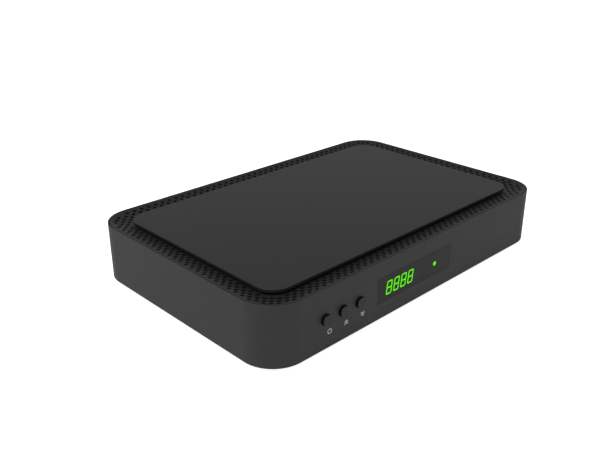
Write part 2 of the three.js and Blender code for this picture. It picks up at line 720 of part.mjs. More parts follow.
function tactSwitch() {
  const { side, height, well } = SWITCH;
  const body = block(around(0, side), [-height, 0], around(0, side));
  return cut(body, rod(PLUNGER_RADIUS + FIT, [-height - PAST, -height + well], 0, 0, 20));
}

BUTTON_NAMES.forEach((name, i) => {
  const x = buttonPlaces[i];
  place(front, `${name}_button`, buttonCap(), "cap", [x, 0, 0]);
  place(front, `${name}_switch`, tactSwitch(), "plastic", [x, boardY - SEAT, 0]);
});

// ----------------------------------------------------------------------------- the main board
const board = new THREE.Group(); // origin on the board's top face, at its front left corner
board.position.set(BOARD_LEFT, BOARD_FRONT, BOARD_TOP);
recorder.add(board);
const boardWidth = BOARD_RIGHT - BOARD_LEFT;
const boardDepth = BOARD_BACK - BOARD_FRONT;

function mainBoard() {
  const sheet = block([0, boardWidth], [0, boardDepth], [-BOARD_THICK, 0]);
  const holes = boardScrewPlaces.map(([x, y]) =>
    post(
      BOARD_SCREW.radius + FIT,
      [-BOARD_THICK - PAST, PAST],
      x - BOARD_LEFT,
      y - BOARD_FRONT,
      12,
    ),
  );
  return cut(sheet, holes);
}
place(board, "main_board", mainBoard(), "board");

const padZ = PROCESSOR.height + 2 * SEAT;
const sinkZ = padZ + PAD.height + SEAT;

function heatSink() {
  const { side, base, fins, fin, height } = SINK;
  const pitch = (side - fin) / (fins - 1);
  const plates = [];
  for (let i = 0; i < fins; i++) {
    const x = -side / 2 + fin / 2 + i * pitch;
    plates.push(block(around(x, fin), around(0, side), [base - OVERLAP, base + height]));
  }
  return join(block(around(0, side), around(0, side), [0, base]), plates);
}

function chip(width, depth, height) {
  return loft(
    width,
    depth,
    0.8,
    [
      [0.2, 0],
      [0, height / 2],
      [0.2, height],
    ],
    2,
  );
}

place(board, "processor", chip(PROCESSOR.side, PROCESSOR.side, PROCESSOR.height), "chip", [
  PROCESSOR.x,
  PROCESSOR.y,
  SEAT,
]);
const padSide = PROCESSOR.side - 2 * PAD.inset;
place(
  board,
  "thermal_pad",
  block(around(0, padSide), around(0, padSide), [0, PAD.height]),
  "pad",
  [PROCESSOR.x, PROCESSOR.y, padZ],
);
place(board, "heat_sink", heatSink(), "aluminium", [PROCESSOR.x, PROCESSOR.y, sinkZ]);
for (const { name, size, at } of CHIPS) {
  place(board, name, chip(...size), "chip", [...at, SEAT]);
}
const coilCase = slab(INDUCTOR.side, INDUCTOR.side, INDUCTOR.corner, [0, INDUCTOR.height], 0.5, 4);
place(board, "power_inductor", coilCase, "chip", [...INDUCTOR.at, SEAT]);

// A can capacitor with a rolled groove near its foot.
function canCapacitor() {
  const { radius, height, grooveZ, groove, edge } = CAPACITOR;
  return turned([
    [0, 0],
    [radius, 0],
    [radius, grooveZ - edge],
    [radius - groove, grooveZ],
    [radius, grooveZ + edge],
    [radius, height - edge],
    [radius - edge, height],
    [0, height],
  ]);
}
CAPACITOR_PLACES.forEach((at, i) => {
  place(board, `filter_capacitor_${i + 1}`, canCapacitor(), "aluminium", [...at, SEAT]);
});

boardScrewPlaces.forEach(([x, y], i) => {
  const fastener = place(recorder, `board_screw_${i + 1}`, screw(BOARD_SCREW), "steel", [
    x,
    y,
    BOARD_TOP + SEAT,
  ]);
  fastener.rotation.x = Math.PI;
});

// A thin ribbon in an upright plane along Y: from the front board down to the main board.
function frontRibbon() {
  const { width, thick, before, onBoard } = RIBBON;
  const start = FRONT_BOARD_Y + FRONT_BOARD.thick + SEAT;
  const drop = BOARD_TOP + SEAT + thick / 2;
  const line = [
    ...RIBBON_BEND.map(([run, rise]) => [start + run, drop + rise]),
    [BOARD_FRONT - before, drop],
    [BOARD_FRONT + onBoard, drop],
  ];
  const strip = raised(stripOutline(line, thick), around(0, width));
  return strip.rotate([90, 0, 90]);
}
place(recorder, "front_ribbon_cable", frontRibbon(), "ribbon", [BOARD_LEFT + RIBBON.x, 0, 0]);

// ------------------------------------------------------------------------------ the back panel
const back = new THREE.Group(); // origin on the board's top face, in the panel's outer plane
back.position.set(0, PANEL_Y + PANEL_THICK, BOARD_TOP);
recorder.add(back);

function rearPanel() {
  const sheet = block(panelX, [-PANEL_THICK, 0], [panelZ[0] - BOARD_TOP, panelZ[1] - BOARD_TOP]);
  const through = [-PANEL_THICK - PAST, PAST];
  return cut(
    sheet,
    sockets.map(({ x, width, height }) =>
      block(around(x, width + 2 * FIT), through, [SEAT - FIT, SEAT + height + FIT]),
    ),
    antennaPlaces.map((x) => rod(ANTENNA.radius + FIT, through, x, TUNER.height / 2, 28)),
  );
}
place(back, "rear_panel", rearPanel(), "blackSteel");

// Each socket's body, before its mouth is cut, reaches a little beyond the panel.
function socketBody({ width, height, depth }) {
  return block(around(0, width), [CONNECTOR_PROUD - depth, CONNECTOR_PROUD], [0, height]);
}
function mouth(width, depth, [z0, z1]) {
  return block(around(0, width), [CONNECTOR_PROUD - depth, CONNECTOR_PROUD + PAST], [z0, z1]);
}

const SOCKET_SHAPES = {
  dc_jack(socket) {
    const z = socket.height / 2;
    const bore = rod(DC.bore, [CONNECTOR_PROUD - DC.deep, CONNECTOR_PROUD + PAST], 0, z);
    const pin = rod(DC.pin, [DC.root, CONNECTOR_PROUD - TONGUE_SINK], 0, z, 16);
    return join(cut(socketBody(socket), bore), pin);
  },
  av_jack(socket) {
    const z = socket.height / 2;
    const bore = rod(AV.bore, [CONNECTOR_PROUD - AV.deep, CONNECTOR_PROUD + PAST], 0, z);
    return cut(socketBody(socket), bore);
  },
  optical_audio_port(socket) {
    const z = socket.height / 2;
    return cut(
      socketBody(socket),
      mouth(OPTICAL_BORE.side, OPTICAL_BORE.depth, around(z, OPTICAL_BORE.side)),
    );
  },
  hdmi_port(socket) {
    const { halfWidth, shoulder, top, bevel, deep, tongue } = HDMI;
    const [width, thick, lift] = tongue;
    const outline = [
      [-halfWidth, top],
      [-halfWidth, bevel],
      [-shoulder, -top],
      [shoulder, -top],
      [halfWidth, bevel],
      [halfWidth, top],
    ];
    const middle = socket.height / 2;
    const hollow = raised(outline, [0, deep + PAST])
      .rotate([90, 0, 0])
      .translate([0, CONNECTOR_PROUD + PAST, middle]);
    const tongueY = [TONGUE_ROOT.hdmi, CONNECTOR_PROUD - TONGUE_SINK];
    const leaf = block(around(0, width), tongueY, around(middle + lift, thick));
    return join(cut(socketBody(socket), hollow), leaf);
  },
  usb_port(socket) {
    const [width, low, high] = USB.tongue;
    const middle = socket.height / 2;
    const tongueY = [TONGUE_ROOT.usb, CONNECTOR_PROUD - TONGUE_SINK];
    const leaf = block(around(0, width), tongueY, [middle + low, middle + high]);
    const hollow = mouth(USB.width, USB.deep, around(middle, USB.height));
    return join(cut(socketBody(socket), hollow), leaf);
  },
  ethernet_jack(socket) {
    return cut(
      socketBody(socket),
      NETWORK.steps.map(([width, heights]) => mouth(width, NETWORK.deep, heights)),
    );
  },
};
sockets.forEach((socket) => {
  const finish = ["hdmi_port", "usb_port", "ethernet_jack"].includes(socket.name)
    ? "steel"
    : "plastic";
  place(back, socket.name, SOCKET_SHAPES[socket.name](socket), finish, [socket.x, 0, SEAT]);
});

// The flap hangs from a pin along its top edge, just inside the mouth of the optical port.
const optical = sockets.find(({ name }) => name === "optical_audio_port");
function opticalFlap() {
  const { side, thick, pin } = FLAP;
  const hinge = new THREE.CylinderGeometry(pin, pin, side, 12);
  hinge.rotateZ(Math.PI / 2);
  const leaf = block(around(0, side), around(0, thick), [pin - side, 0]);
  return join(solid(hinge), leaf);
}
place(back, "optical_port_flap", opticalFlap(), "plastic", [
  optical.x,
  CONNECTOR_PROUD - FLAP.thick,
  SEAT + optical.height / 2 + FLAP.side / 2 - FLAP.pin,
]);

function tunerCan() {
  const { width, height, depth } = TUNER;
  const end = BOARD_BACK - FIT - PANEL_Y - PANEL_THICK;
  const can = block(around(0, width), [end - depth, end], [0, height]);
  const crimps = [-1, 1].map((side) =>
    block(
      around(side * (width / 2 - CRIMP.inset), CRIMP.width),
      [end - depth - PAST, end - CRIMP.inset],
      [height - CRIMP.deep, height + PAST],
    ),
  );
  return cut(can, crimps);
}
place(back, "tuner_can", tunerCan(), "steel", [tunerX, 0, SEAT]);

function antennaSocket() {
  const { radius, flange, proud, bore } = ANTENNA;
  const start = BOARD_BACK - PANEL_Y - PANEL_THICK;
  const barrel = turnedAlongY(
    [
      [0, start],
      [flange, start],
      [flange, -PANEL_THICK - FIT],
      [radius, -PANEL_THICK - FIT],
      [radius, proud - ANTENNA_EDGE],
      [radius - ANTENNA_EDGE, proud],
      [0, proud],
    ],
    24,
  );
  const end = proud + PAST;
  const face = rod(radius - ANTENNA_WALL, [proud - ANTENNA_FACE, end]);
  return cut(barrel, face, rod(bore, [ANTENNA.boreStart, end], 0, 0, 12));
}
["antenna_in_socket", "antenna_out_socket"].forEach((name, i) => {
  place(back, name, antennaSocket(), "steel", [antennaPlaces[i], 0, antennaZ - BOARD_TOP]);
});

// -------------------------------------------------------------------------------- the disk drive
const drive = new THREE.Group(); // origin under the middle of the drive
drive.position.set(DRIVE_X, 0, DRIVE_Z);
recorder.add(drive);

const driveBaseZ = DRIVE.board + SEAT;
const driveLidZ = driveBaseZ + DRIVE.base + SEAT;
const hollowZ = driveBaseZ + DRIVE_HOLLOW.floor;
const platterZ = hollowZ + DRIVE_HOLLOW.platterLift;

function screwHole(x, y, z) {
  const hole = new THREE.CylinderGeometry(
    DRIVE_SCREW.radius + FIT,
    DRIVE_SCREW.radius + FIT,
    2 * DRIVE_SCREW.length,
    12,
  );
  hole.rotateZ(Math.PI / 2);
  hole.translate(x, y, z);
  return solid(hole);
}

function sideScrewHoles() {
  const holes = [];
  for (const side of [-1, 1]) {
    for (const y of DRIVE_SCREW_Y) holes.push(screwHole((side * DRIVE.width) / 2, y, DRIVE_SCREW_Z));
  }
  return holes;
}

function driveBase() {
  const casting = slab(
    DRIVE.width,
    DRIVE.length,
    DRIVE.corner,
    [driveBaseZ, driveBaseZ + DRIVE.base],
    0.3,
  );
  const { platterGap, halfWidth, back: wall } = DRIVE_HOLLOW;
  const hollow = [hollowZ, driveBaseZ + DRIVE.base + PAST];
  return cut(
    casting,
    post(PLATTER.radius + platterGap, hollow, 0, PLATTER.y, 40),
    block([-halfWidth, halfWidth], [0, DRIVE.length / 2 - wall], hollow),
    sideScrewHoles(),
  );
}
place(drive, "drive_base", driveBase(), "aluminium");
place(
  drive,
  "drive_lid",
  slab(DRIVE.width, DRIVE.length, DRIVE.corner, [driveLidZ, driveLidZ + DRIVE.lid], 0.3),
  "steel",
);
const driveSheet = block(
  [-DRIVE_BOARD.halfWidth, DRIVE_BOARD.halfWidth],
  [DRIVE_BOARD.front, DRIVE_BOARD.back],
  [0, DRIVE.board],
);
place(drive, "drive_board", driveSheet, "board");

const hubSeat = platterZ - hollowZ - FIT - SEAT;
const hubEdge = 0.4;
const spindleHub = turned([
  [0, 0],
  [SPINDLE_RADIUS + HUB_STEP, 0],
  [SPINDLE_RADIUS + HUB_STEP, hubSeat],
  [SPINDLE_RADIUS, hubSeat],
  [SPINDLE_RADIUS, HUB_HEIGHT - hubEdge],
  [SPINDLE_RADIUS - hubEdge, HUB_HEIGHT],
  [0, HUB_HEIGHT],
]);
place(drive, "spindle_hub", spindleHub, "aluminium", [0, PLATTER.y, hollowZ + FIT]);

const platter = cut(
  post(PLATTER.radius, [0, PLATTER.thick], 0, 0, 48),
  post(PLATTER.bore, [-PAST, PLATTER.thick + PAST], 0, 0, 32),
);
place(drive, "disk_platter", platter, "platter", [0, PLATTER.y, platterZ]);

// The arm parks just off the rim of the disk. It is drawn along +X and turned to its place.
function headArm() {
  const { reach, hub, thick } = ARM;
  const bladeZ = platterZ + PLATTER.thick - hollowZ;
  const [atHub, atWaist, atTip] = ARM_BLADE;
  const waist = reach * 0.55;
  const blade = raised(
    [
      [0, -atHub],
      [waist, -atWaist],
      [reach, -atTip],
      [reach, atTip],
      [waist, atWaist],
      [0, atHub],
    ],
    [bladeZ, bladeZ + thick],
  );
  const { length, near, far, deep } = ARM_COIL;
  const coil = raised(
    [
      [-length, -far],
      [0, -near],
      [0, near],
      [-length, far],
    ],
    [bladeZ - deep, bladeZ + thick],
  );
  return join(post(hub, [0, ARM_HUB_HEIGHT]), blade, coil);
}
const arm = place(drive, "head_arm", headArm(), "aluminium", [ARM.x, ARM.y, hollowZ + FIT]);
arm.rotation.z = THREE.MathUtils.degToRad(ARM.parked);

// A folded tray: the drive stands between its two flanges, and pegs of the case hold it down.
function driveBracket() {
  const inner = DRIVE.width / 2 + BRACKET_GAP;
  const outer = inner + BRACKET_SHEET;
  const drop = BRACKET_Z - DRIVE_Z;
  const through = [drop - PAST, drop + BRACKET_SHEET + PAST];
  const base = block([-outer, outer], around(0, DRIVE.length), [drop, drop + BRACKET_SHEET]);
  const flanges = [-1, 1].map((side) =>
    block(
      side < 0 ? [-outer, -inner] : [inner, outer],
      around(0, DRIVE.length),
      [drop, drop + BRACKET_SHEET + BRACKET_FLANGE],
    ),
  );
  return cut(
    join(base, flanges),
    stakePlaces.map(([x, y]) => post(STAKE.hole, through, x, y, 12)),
    block(around(0, BRACKET_WINDOW[0]), around(0, BRACKET_WINDOW[1]), through),
    sideScrewHoles(),
  );
}
place(drive, "drive_bracket", driveBracket(), "steel");

let driveScrew = 1;
for (const side of [-1, 1]) {
  for (const y of DRIVE_SCREW_Y) {
    const seat = side * (DRIVE.width / 2 + BRACKET_GAP + BRACKET_SHEET + SEAT);
    const spot = [seat, y, DRIVE_SCREW_Z];
    const fastener = place(drive, `drive_screw_${driveScrew}`, screw(DRIVE_SCREW), "steel", spot);
    fastener.rotation.y = (-side * Math.PI) / 2;
    driveScrew += 1;
  }
}

// A plug on the back of the drive and a flat ribbon across to a plug on the main board.
function driveCable() {
  const { halfWidth, depth, header, over, thick, lift } = CABLE;
  const y = [DRIVE.length / 2 + FIT, DRIVE.length / 2 + FIT + depth];
  const plug = block([-halfWidth, halfWidth], y, CABLE.plug);
  const boardTop = BOARD_TOP - DRIVE_Z;
  const end = BOARD_LEFT + over - DRIVE_X;
  const ribbonZ = [boardTop + lift, boardTop + lift + thick];
  const ribbon = block([halfWidth - PAST, end], widened(y, -OVERLAP), ribbonZ);
  const socket = block([end - header, end], y, [boardTop + SEAT, ribbonZ[1]]);
  return join(plug, ribbon, socket);
}
place(drive, "drive_cable", driveCable(), "plastic");

export default recorder;
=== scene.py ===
# %% [markdown]
# # A set-top recorder, dressed for a studio picture
#
# The recorder's structure comes ready made, as a frame of separate CAD parts that sit on moving
# bodies. This script keeps every part where it is and makes the surfaces that the eye meets: the
# moulded case, the cover with its hundreds of round holes, the plate, the smoked window, the
# digits, the three buttons, and the sockets at the back. A shape here is an array of points that
# numpy works out from a formula, and a finish is a small network of shader nodes.

# %% Load the frame
import json
import math

import bmesh
import bpy
import numpy as np
from mathutils import Matrix, Vector
from mathutils.geometry import delaunay_2d_cdt


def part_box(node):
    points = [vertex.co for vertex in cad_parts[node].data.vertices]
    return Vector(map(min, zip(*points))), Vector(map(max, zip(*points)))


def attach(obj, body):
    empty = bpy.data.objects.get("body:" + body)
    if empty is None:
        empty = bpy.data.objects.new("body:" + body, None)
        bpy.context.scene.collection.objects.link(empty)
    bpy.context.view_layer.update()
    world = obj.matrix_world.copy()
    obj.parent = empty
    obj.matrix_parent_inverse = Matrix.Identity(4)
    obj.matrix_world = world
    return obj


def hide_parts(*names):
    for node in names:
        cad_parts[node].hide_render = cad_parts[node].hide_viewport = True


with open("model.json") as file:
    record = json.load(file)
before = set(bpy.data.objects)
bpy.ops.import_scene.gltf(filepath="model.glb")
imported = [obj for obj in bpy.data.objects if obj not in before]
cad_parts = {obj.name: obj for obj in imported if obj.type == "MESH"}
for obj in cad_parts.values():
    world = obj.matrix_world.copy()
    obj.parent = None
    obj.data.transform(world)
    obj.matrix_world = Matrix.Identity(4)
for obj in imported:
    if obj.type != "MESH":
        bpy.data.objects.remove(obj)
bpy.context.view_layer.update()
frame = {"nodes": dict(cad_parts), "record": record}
nodes = frame["nodes"]
slot_of = {part["node"]: part["material_slot"] for part in frame["record"]["subparts"]}
MM = 0.001

# %% [markdown]
# ## The camera
#
# A camera can be placed by hand and turned until the picture looks right, but numbers are easier to
# repeat. Here it stands on a line that leaves an aim point at a known compass angle and height
# angle. The product shot is taken from above the front left corner, near enough for the far edges
# to draw together, so the distance and the lens matter as much as the angles.

# %% Place the camera
AIM = Vector((40.857, 65.51, -13.037)) * MM
DISTANCE = 554.508 * MM
AZIMUTH = math.radians(43.874)
ELEVATION = math.radians(23.746)
ROLL = math.radians(-0.135)
LENS = 43.94

forward = Vector(
    (
        math.sin(AZIMUTH) * math.cos(ELEVATION),
        math.cos(AZIMUTH) * math.cos(ELEVATION),
        -math.sin(ELEVATION),
    )
)
level_right = forward.cross(Vector((0, 0, 1))).normalized()
level_up = level_right.cross(forward)
right = math.cos(ROLL) * level_right + math.sin(ROLL) * level_up
up = right.cross(forward)
camera = bpy.data.objects.new("camera", bpy.data.cameras.new("camera"))
camera.data.lens = LENS
camera.data.clip_start = 0.01
turn = Matrix((right, up, -forward)).transposed().to_4x4()
camera.matrix_world = Matrix.Translation(AIM - DISTANCE * forward) @ turn
bpy.context.scene.collection.objects.link(camera)
bpy.context.scene.camera = camera
print("camera at", [round(v, 4) for v in camera.matrix_world.translation])

# %% [markdown]
# ## Shader maths as plain expressions
#
# A material's pattern is arithmetic: a grain times a strength, one minus a mask. Drawing that with
# a Math node for every sign is slow to write and slow to read. The small class below holds one
# socket, and the operators on it add the Math nodes, so a pattern can be written as a formula.
# Its one method `node` adds any other kind of node.


# %% A wire that can be added and multiplied
class Wire:
    """One socket of a node tree. An operator on it adds a Math node and gives that node's wire."""

    def __init__(self, tree, socket=None):
        self.tree = tree
        self.socket = socket

    def node(self, kind, settings, inputs, out=0):
        """Adds a node, sets its settings, fills or links its inputs, and gives one output."""
        made = self.tree.nodes.new("ShaderNode" + kind)
        for name, value in settings.items():
            setattr(made, name, value)
        for key, value in inputs.items():
            if isinstance(value, Wire):
                self.tree.links.new(value.socket, made.inputs[key])
            else:
                made.inputs[key].default_value = value
        return Wire(self.tree, made.outputs[out])

    def math(self, operation, first, second=0.0):
        return self.node("Math", {"operation": operation}, {0: first, 1: second})

    def __add__(self, other):
        return self.math("ADD", self, other)

    __radd__ = __add__

    def __sub__(self, other):
        return self.math("SUBTRACT", self, other)

    def __rsub__(self, other):
        return self.math("SUBTRACT", other, self)

    def __mul__(self, other):
        return self.math("MULTIPLY", self, other)

    __rmul__ = __mul__


print("a wire can do:", [name for name in vars(Wire) if name.startswith("__")][1:])

# %% [markdown]
# ## The studio
#
# The picture is lit the way a small black product usually is: one large soft light almost overhead,
# a little to the left, and a dim dome all round it that is brighter toward the horizon. The top
# mirrors a higher part of the dome in front than at the back, so it grows lighter toward the back.
# Rays that come straight from the camera find the dome white, so that it carries on from the paper.

# %% Light the studio
HORIZON = 0.42
ZENITH = 0.18
KEY_POWER = 19.5
KEY_PLACE = (-0.78, -0.10, 1.84)
KEY_SIZE = 1.5

world = bpy.data.worlds.new("studio dome")
world.use_nodes = True
bpy.context.scene.world = world
sky = Wire(world.node_tree)
toward = sky.node("TexCoord", {}, {}, "Generated")
height = sky.node("SeparateXYZ", {}, {"Vector": toward}, "Z")
climb = {"Value": height, "From Min": 0, "From Max": 0.6, "To Min": HORIZON, "To Max": ZENITH}
glow = sky.node("MapRange", {}, climb)
seen = sky.node("LightPath", {}, {}, "Is Camera Ray")
strength = glow + seen * (1 - glow)
background = world.node_tree.nodes["Background"]
background.inputs["Color"].default_value = (1, 1, 1, 1)
world.node_tree.links.new(strength.socket, background.inputs["Strength"])

key = bpy.data.objects.new("key light", bpy.data.lights.new("key light", "AREA"))
key.data.size = KEY_SIZE
key.data.energy = KEY_POWER
key.location = KEY_PLACE
key.rotation_euler = Vector(KEY_PLACE).to_track_quat("Z", "Y").to_euler()
bpy.context.scene.collection.objects.link(key)
bpy.context.scene.view_settings.view_transform = "Standard"
print("dome", HORIZON, "to", ZENITH, "and key light", KEY_POWER, "W")

# %% [markdown]
# Black plastic shows mostly what it mirrors, so the floor matters twice. The camera should see
# clean white paper, but a pure white mirrored in the walls would turn them grey. So there are two
# sheets: the white one is there for the camera alone, and a greyer one, a hair lower, is there only
# for mirrored light. The grey one takes the recorder's soft shadow, which darkens the foot of the
# walls.

# %% Lay the floor
def closed_mesh(name, points, faces):
    """A new object from points and faces. If its volume comes out negative, it is turned right."""
    mesh = bpy.data.meshes.new(name)
    mesh.from_pydata(np.asarray(points).tolist(), [], faces)
    shell = bmesh.new()
    shell.from_mesh(mesh)
    if shell.calc_volume(signed=True) < 0:
        bmesh.ops.reverse_faces(shell, faces=shell.faces)
    shell.to_mesh(mesh)
    shell.free()
    made = bpy.data.objects.new(name, mesh)
    bpy.context.scene.collection.objects.link(made)
    return made


FLOOR_REACH = 12.0
FLOOR_GLOW = 0.92
FLOOR_GREY = 0.9
MIRROR_DROP = 0.2 * MM


def paper_sheet(name, height, shade, glow, hidden_from):
    """A wide flat sheet of paper, kept out of the sight of some kinds of rays."""
    corners = np.array([[-1, -1, 0], [1, -1, 0], [1, 1, 0], [-1, 1, 0]]) * FLOOR_REACH
    sheet = closed_mesh(name, corners + (0, 0, height), [(0, 1, 2, 3)])
    for rays in hidden_from:
        setattr(sheet, "visible_" + rays, False)
    paper = bpy.data.materials.new(name)
    paper.use_nodes = True
    shader = paper.node_tree.nodes["Principled BSDF"]
    shader.inputs["Base Color"].default_value = (shade, shade, shade, 1)
    shader.inputs["Roughness"].default_value = 0.9
    shader.inputs["Emission Color"].default_value = (1, 1, 1, 1)
    shader.inputs["Emission Strength"].default_value = glow
    sheet.data.materials.append(paper)


paper_sheet("studio_floor", 0, 0.9, FLOOR_GLOW, ["glossy", "diffuse", "shadow"])
paper_sheet("mirrored_floor", -MIRROR_DROP, FLOOR_GREY, 0, ["camera", "diffuse", "shadow"])
print("floor", FLOOR_REACH * 2, "m across")

# %% [markdown]
# ## Finishes
#
# Every finish starts from one Principled shader. What is the same all over is a number on the
# shader's own socket. What changes over the surface is a pattern in the object's own coordinates,
# which are metres here, so a noise of scale 2500 has grains of about 0.4 mm. Moulded plastic is
# never quite even: the mould is spark eroded, so the surface has a fine grain that spreads the
# highlights, and its sheen changes a little from place to place.


# %% Start a finish
def new_finish(name, colour, roughness, metallic=0.0, fixed=()):
    """A material and its Principled shader, with the constant values set on the shader itself."""
    material = bpy.data.materials.new(name)
    material.use_nodes = True
    shader = material.node_tree.nodes["Principled BSDF"]
    shader.inputs["Base Color"].default_value = (*colour, 1)
    shader.inputs["Roughness"].default_value = roughness
    shader.inputs["Metallic"].default_value = metallic
    for label, value in dict(fixed).items():
        shader.inputs[label].default_value = value
    return material, shader


def feed(shader, label, wire):
    """Joins a wire to one socket of a shader."""
    wire.tree.links.new(wire.socket, shader.inputs[label])


def noise(wire, place, scale, detail=2.0):
    """Soft noise from 0 to 1, with about `scale` grains to a metre."""
    sockets = {"Vector": place, "Scale": scale, "Detail": detail}
    return wire.node("TexNoise", {}, sockets, "Fac")


def tint(wire, amount, low, high):
    """A colour between low, where amount is 0, and high, where it is 1."""
    sockets = {0: amount, 6: (*low, 1), 7: (*high, 1)}
    return wire.node("Mix", {"data_type": "RGBA"}, sockets, 2)


def bumped(wire, height, depth, strength=1.0):
    """A bent normal from a height that runs from 0 to 1 over `depth` metres."""
    return wire.node("Bump", {}, {"Strength": strength, "Distance": depth, "Height": height})


def stretched(wire, place, scale):
    """The same place, drawn out along the axes, so that a noise on it turns into streaks."""
    return wire.node("Mapping", {}, {"Vector": place, "Scale": scale})


print("finish helpers ready")


# %% Grained plastic, rubber and resin
def grained(name, colour, roughness, grain=2600.0, depth=0.02 * MM, spread=0.12, fixed=()):
    """Moulded plastic: cloudy sheen, faint mottling of the colour, and a fine eroded grain."""
    material, shader = new_finish(name, colour, roughness, 0.0, fixed)
    wire = Wire(material.node_tree)
    place = wire.node("TexCoord", {}, {}, "Object")
    cloud = noise(wire, place, 45.0)
    fine = noise(wire, place, grain, 3.0)
    low = [c * (1 - spread) for c in colour]
    high = [c * (1 + spread) for c in colour]
    feed(shader, "Base Color", tint(wire, cloud * 0.6 + fine * 0.4, low, high))
    feed(shader, "Roughness", roughness - 0.05 + cloud * 0.06 + fine * 0.04)
    feed(shader, "Normal", bumped(wire, fine, depth, 0.35))
    return material


CASE_BLACK = (0.046, 0.046, 0.047)
PLATE_BLACK = (0.027, 0.027, 0.028)
finishes = {
    "case_plastic": grained("case plastic", CASE_BLACK, 0.46),
    "plate_plastic": grained("plate plastic", PLATE_BLACK, 0.38, 3400.0, 0.01 * MM),
    "button_plastic": grained("button plastic", (0.027, 0.027, 0.028), 0.42),
    "foot_rubber": grained("foot rubber", (0.012, 0.012, 0.012), 0.82, 1500.0, 0.05 * MM),
    "socket_plastic": grained("socket plastic", (0.011, 0.011, 0.012), 0.36),
    "chip_resin": grained("chip resin", (0.017, 0.017, 0.018), 0.5, 2200.0, 0.03 * MM, 0.2),
    "thermal_silicone": grained("thermal silicone", (0.33, 0.38, 0.45), 0.85, 900.0),
}
print("plastics:", sorted(finishes))


# %% [markdown]
# Metal is told apart by the marks of how it was made. Rolled and brushed steel has streaks along
# one direction, a casting has round grains, and a painted sheet has the soft ripple of orange peel.
# One function makes all three, and only the way its noise is drawn out changes.


# %% Metals
def worked_metal(name, colour, roughness, streak, grain=900.0, depth=0.01 * MM, metallic=1.0):
    """Bare or painted metal: noise drawn out by `streak` moves the sheen and the surface."""
    material, shader = new_finish(name, colour, roughness, metallic)
    wire = Wire(material.node_tree)
    place = wire.node("TexCoord", {}, {}, "Object")
    mark = noise(wire, stretched(wire, place, streak), grain, 3.0)
    stain = noise(wire, place, 60.0)
    low = [c * 0.86 for c in colour]
    feed(shader, "Base Color", tint(wire, stain * 0.7 + mark * 0.3, low, colour))
    feed(shader, "Roughness", roughness - 0.06 + mark * 0.14)
    feed(shader, "Normal", bumped(wire, mark, depth, 0.3))
    return material


EVEN = (1, 1, 1)
ALONG_X = (0.04, 1, 1)
finishes["bright_steel"] = worked_metal("bright steel", (0.56, 0.57, 0.58), 0.3, ALONG_X)
finishes["black_screw"] = worked_metal("blackened steel", (0.02, 0.02, 0.021), 0.4, EVEN)
finishes["panel_paint"] = worked_metal(
    "panel paint", (0.017, 0.017, 0.018), 0.42, EVEN, 700.0, 0.04 * MM, 0.0
)
finishes["socket_plating"] = worked_metal("nickel plating", (0.60, 0.59, 0.56), 0.26, ALONG_X)
gold = worked_metal("gold plating", (0.83, 0.60, 0.25), 0.26, ALONG_X)
finishes["cast_aluminium"] = worked_metal(
    "cast aluminium", (0.62, 0.63, 0.64), 0.42, EVEN, 1100.0, 0.05 * MM
)
finishes["disk_mirror"] = worked_metal("disk mirror", (0.74, 0.75, 0.77), 0.1, EVEN, 300.0, 0.0)
print("metals:", [name for name in finishes if "plastic" not in name][-6:])


# %% [markdown]
# A circuit board is green lacquer over copper. Where copper runs beneath the lacquer, the green is
# lighter and stands a few hundredths of a millimetre proud. A brick pattern has just the right
# look for that: long thin bricks whose mortar lines are the gaps between the tracks.


# %% Circuit board, ribbon and smoked acrylic
def circuit_board():
    """Green lacquer over copper tracks: bricks stand for the tracks, and mortar for the gaps."""
    low, high = (0.004, 0.045, 0.016), (0.010, 0.095, 0.034)
    material, shader = new_finish("circuit board", high, 0.35)
    wire = Wire(material.node_tree)
    place = wire.node("TexCoord", {}, {}, "Object")
    sizes = {"Vector": place, "Scale": 60.0, "Mortar Size": 0.012, "Brick Width": 0.9}
    bricks = wire.node("TexBrick", {}, {**sizes, "Row Height": 0.09}, "Fac")
    copper = 1 - bricks
    feed(shader, "Base Color", tint(wire, copper, low, high))
    feed(shader, "Roughness", 0.42 - copper * 0.1)
    feed(shader, "Normal", bumped(wire, copper, 0.03 * MM, 0.5))
    return material


def ribbon_film():
    """White film with a dark line for every wire: a wave across the ribbon's width."""
    material, shader = new_finish("ribbon film", (0.62, 0.62, 0.59), 0.45)
    wire = Wire(material.node_tree)
    place = wire.node("TexCoord", {}, {}, "Object")
    wave = wire.node("TexWave", {"bands_direction": "X"}, {"Vector": place, "Scale": 160.0}, "Fac")
    feed(shader, "Base Color", tint(wire, wave, (0.30, 0.30, 0.29), (0.68, 0.68, 0.65)))
    feed(shader, "Normal", bumped(wire, wave, 0.1 * MM, 0.5))
    return material


def smoked_acrylic():
    """Dark polished sheet with a faint smear of sheen, printed black on its back."""
    smoke = (0.005, 0.005, 0.0055)
    fixed = {"Specular IOR Level": 0.46}
    material, shader = new_finish("smoked acrylic", smoke, 0.3, 0.0, fixed)
    wire = Wire(material.node_tree)
    place = wire.node("TexCoord", {}, {}, "Object")
    smear = noise(wire, place, 120.0)
    feed(shader, "Roughness", 0.28 + smear * 0.05)
    feed(shader, "Base Color", tint(wire, smear, [c * 0.9 for c in smoke], smoke))
    return material


finishes["circuit_board"] = circuit_board()
finishes["ribbon_film"] = ribbon_film()
finishes["window_acrylic"] = smoked_acrylic()
print("boards and sheets:", [name for name in finishes][-3:])


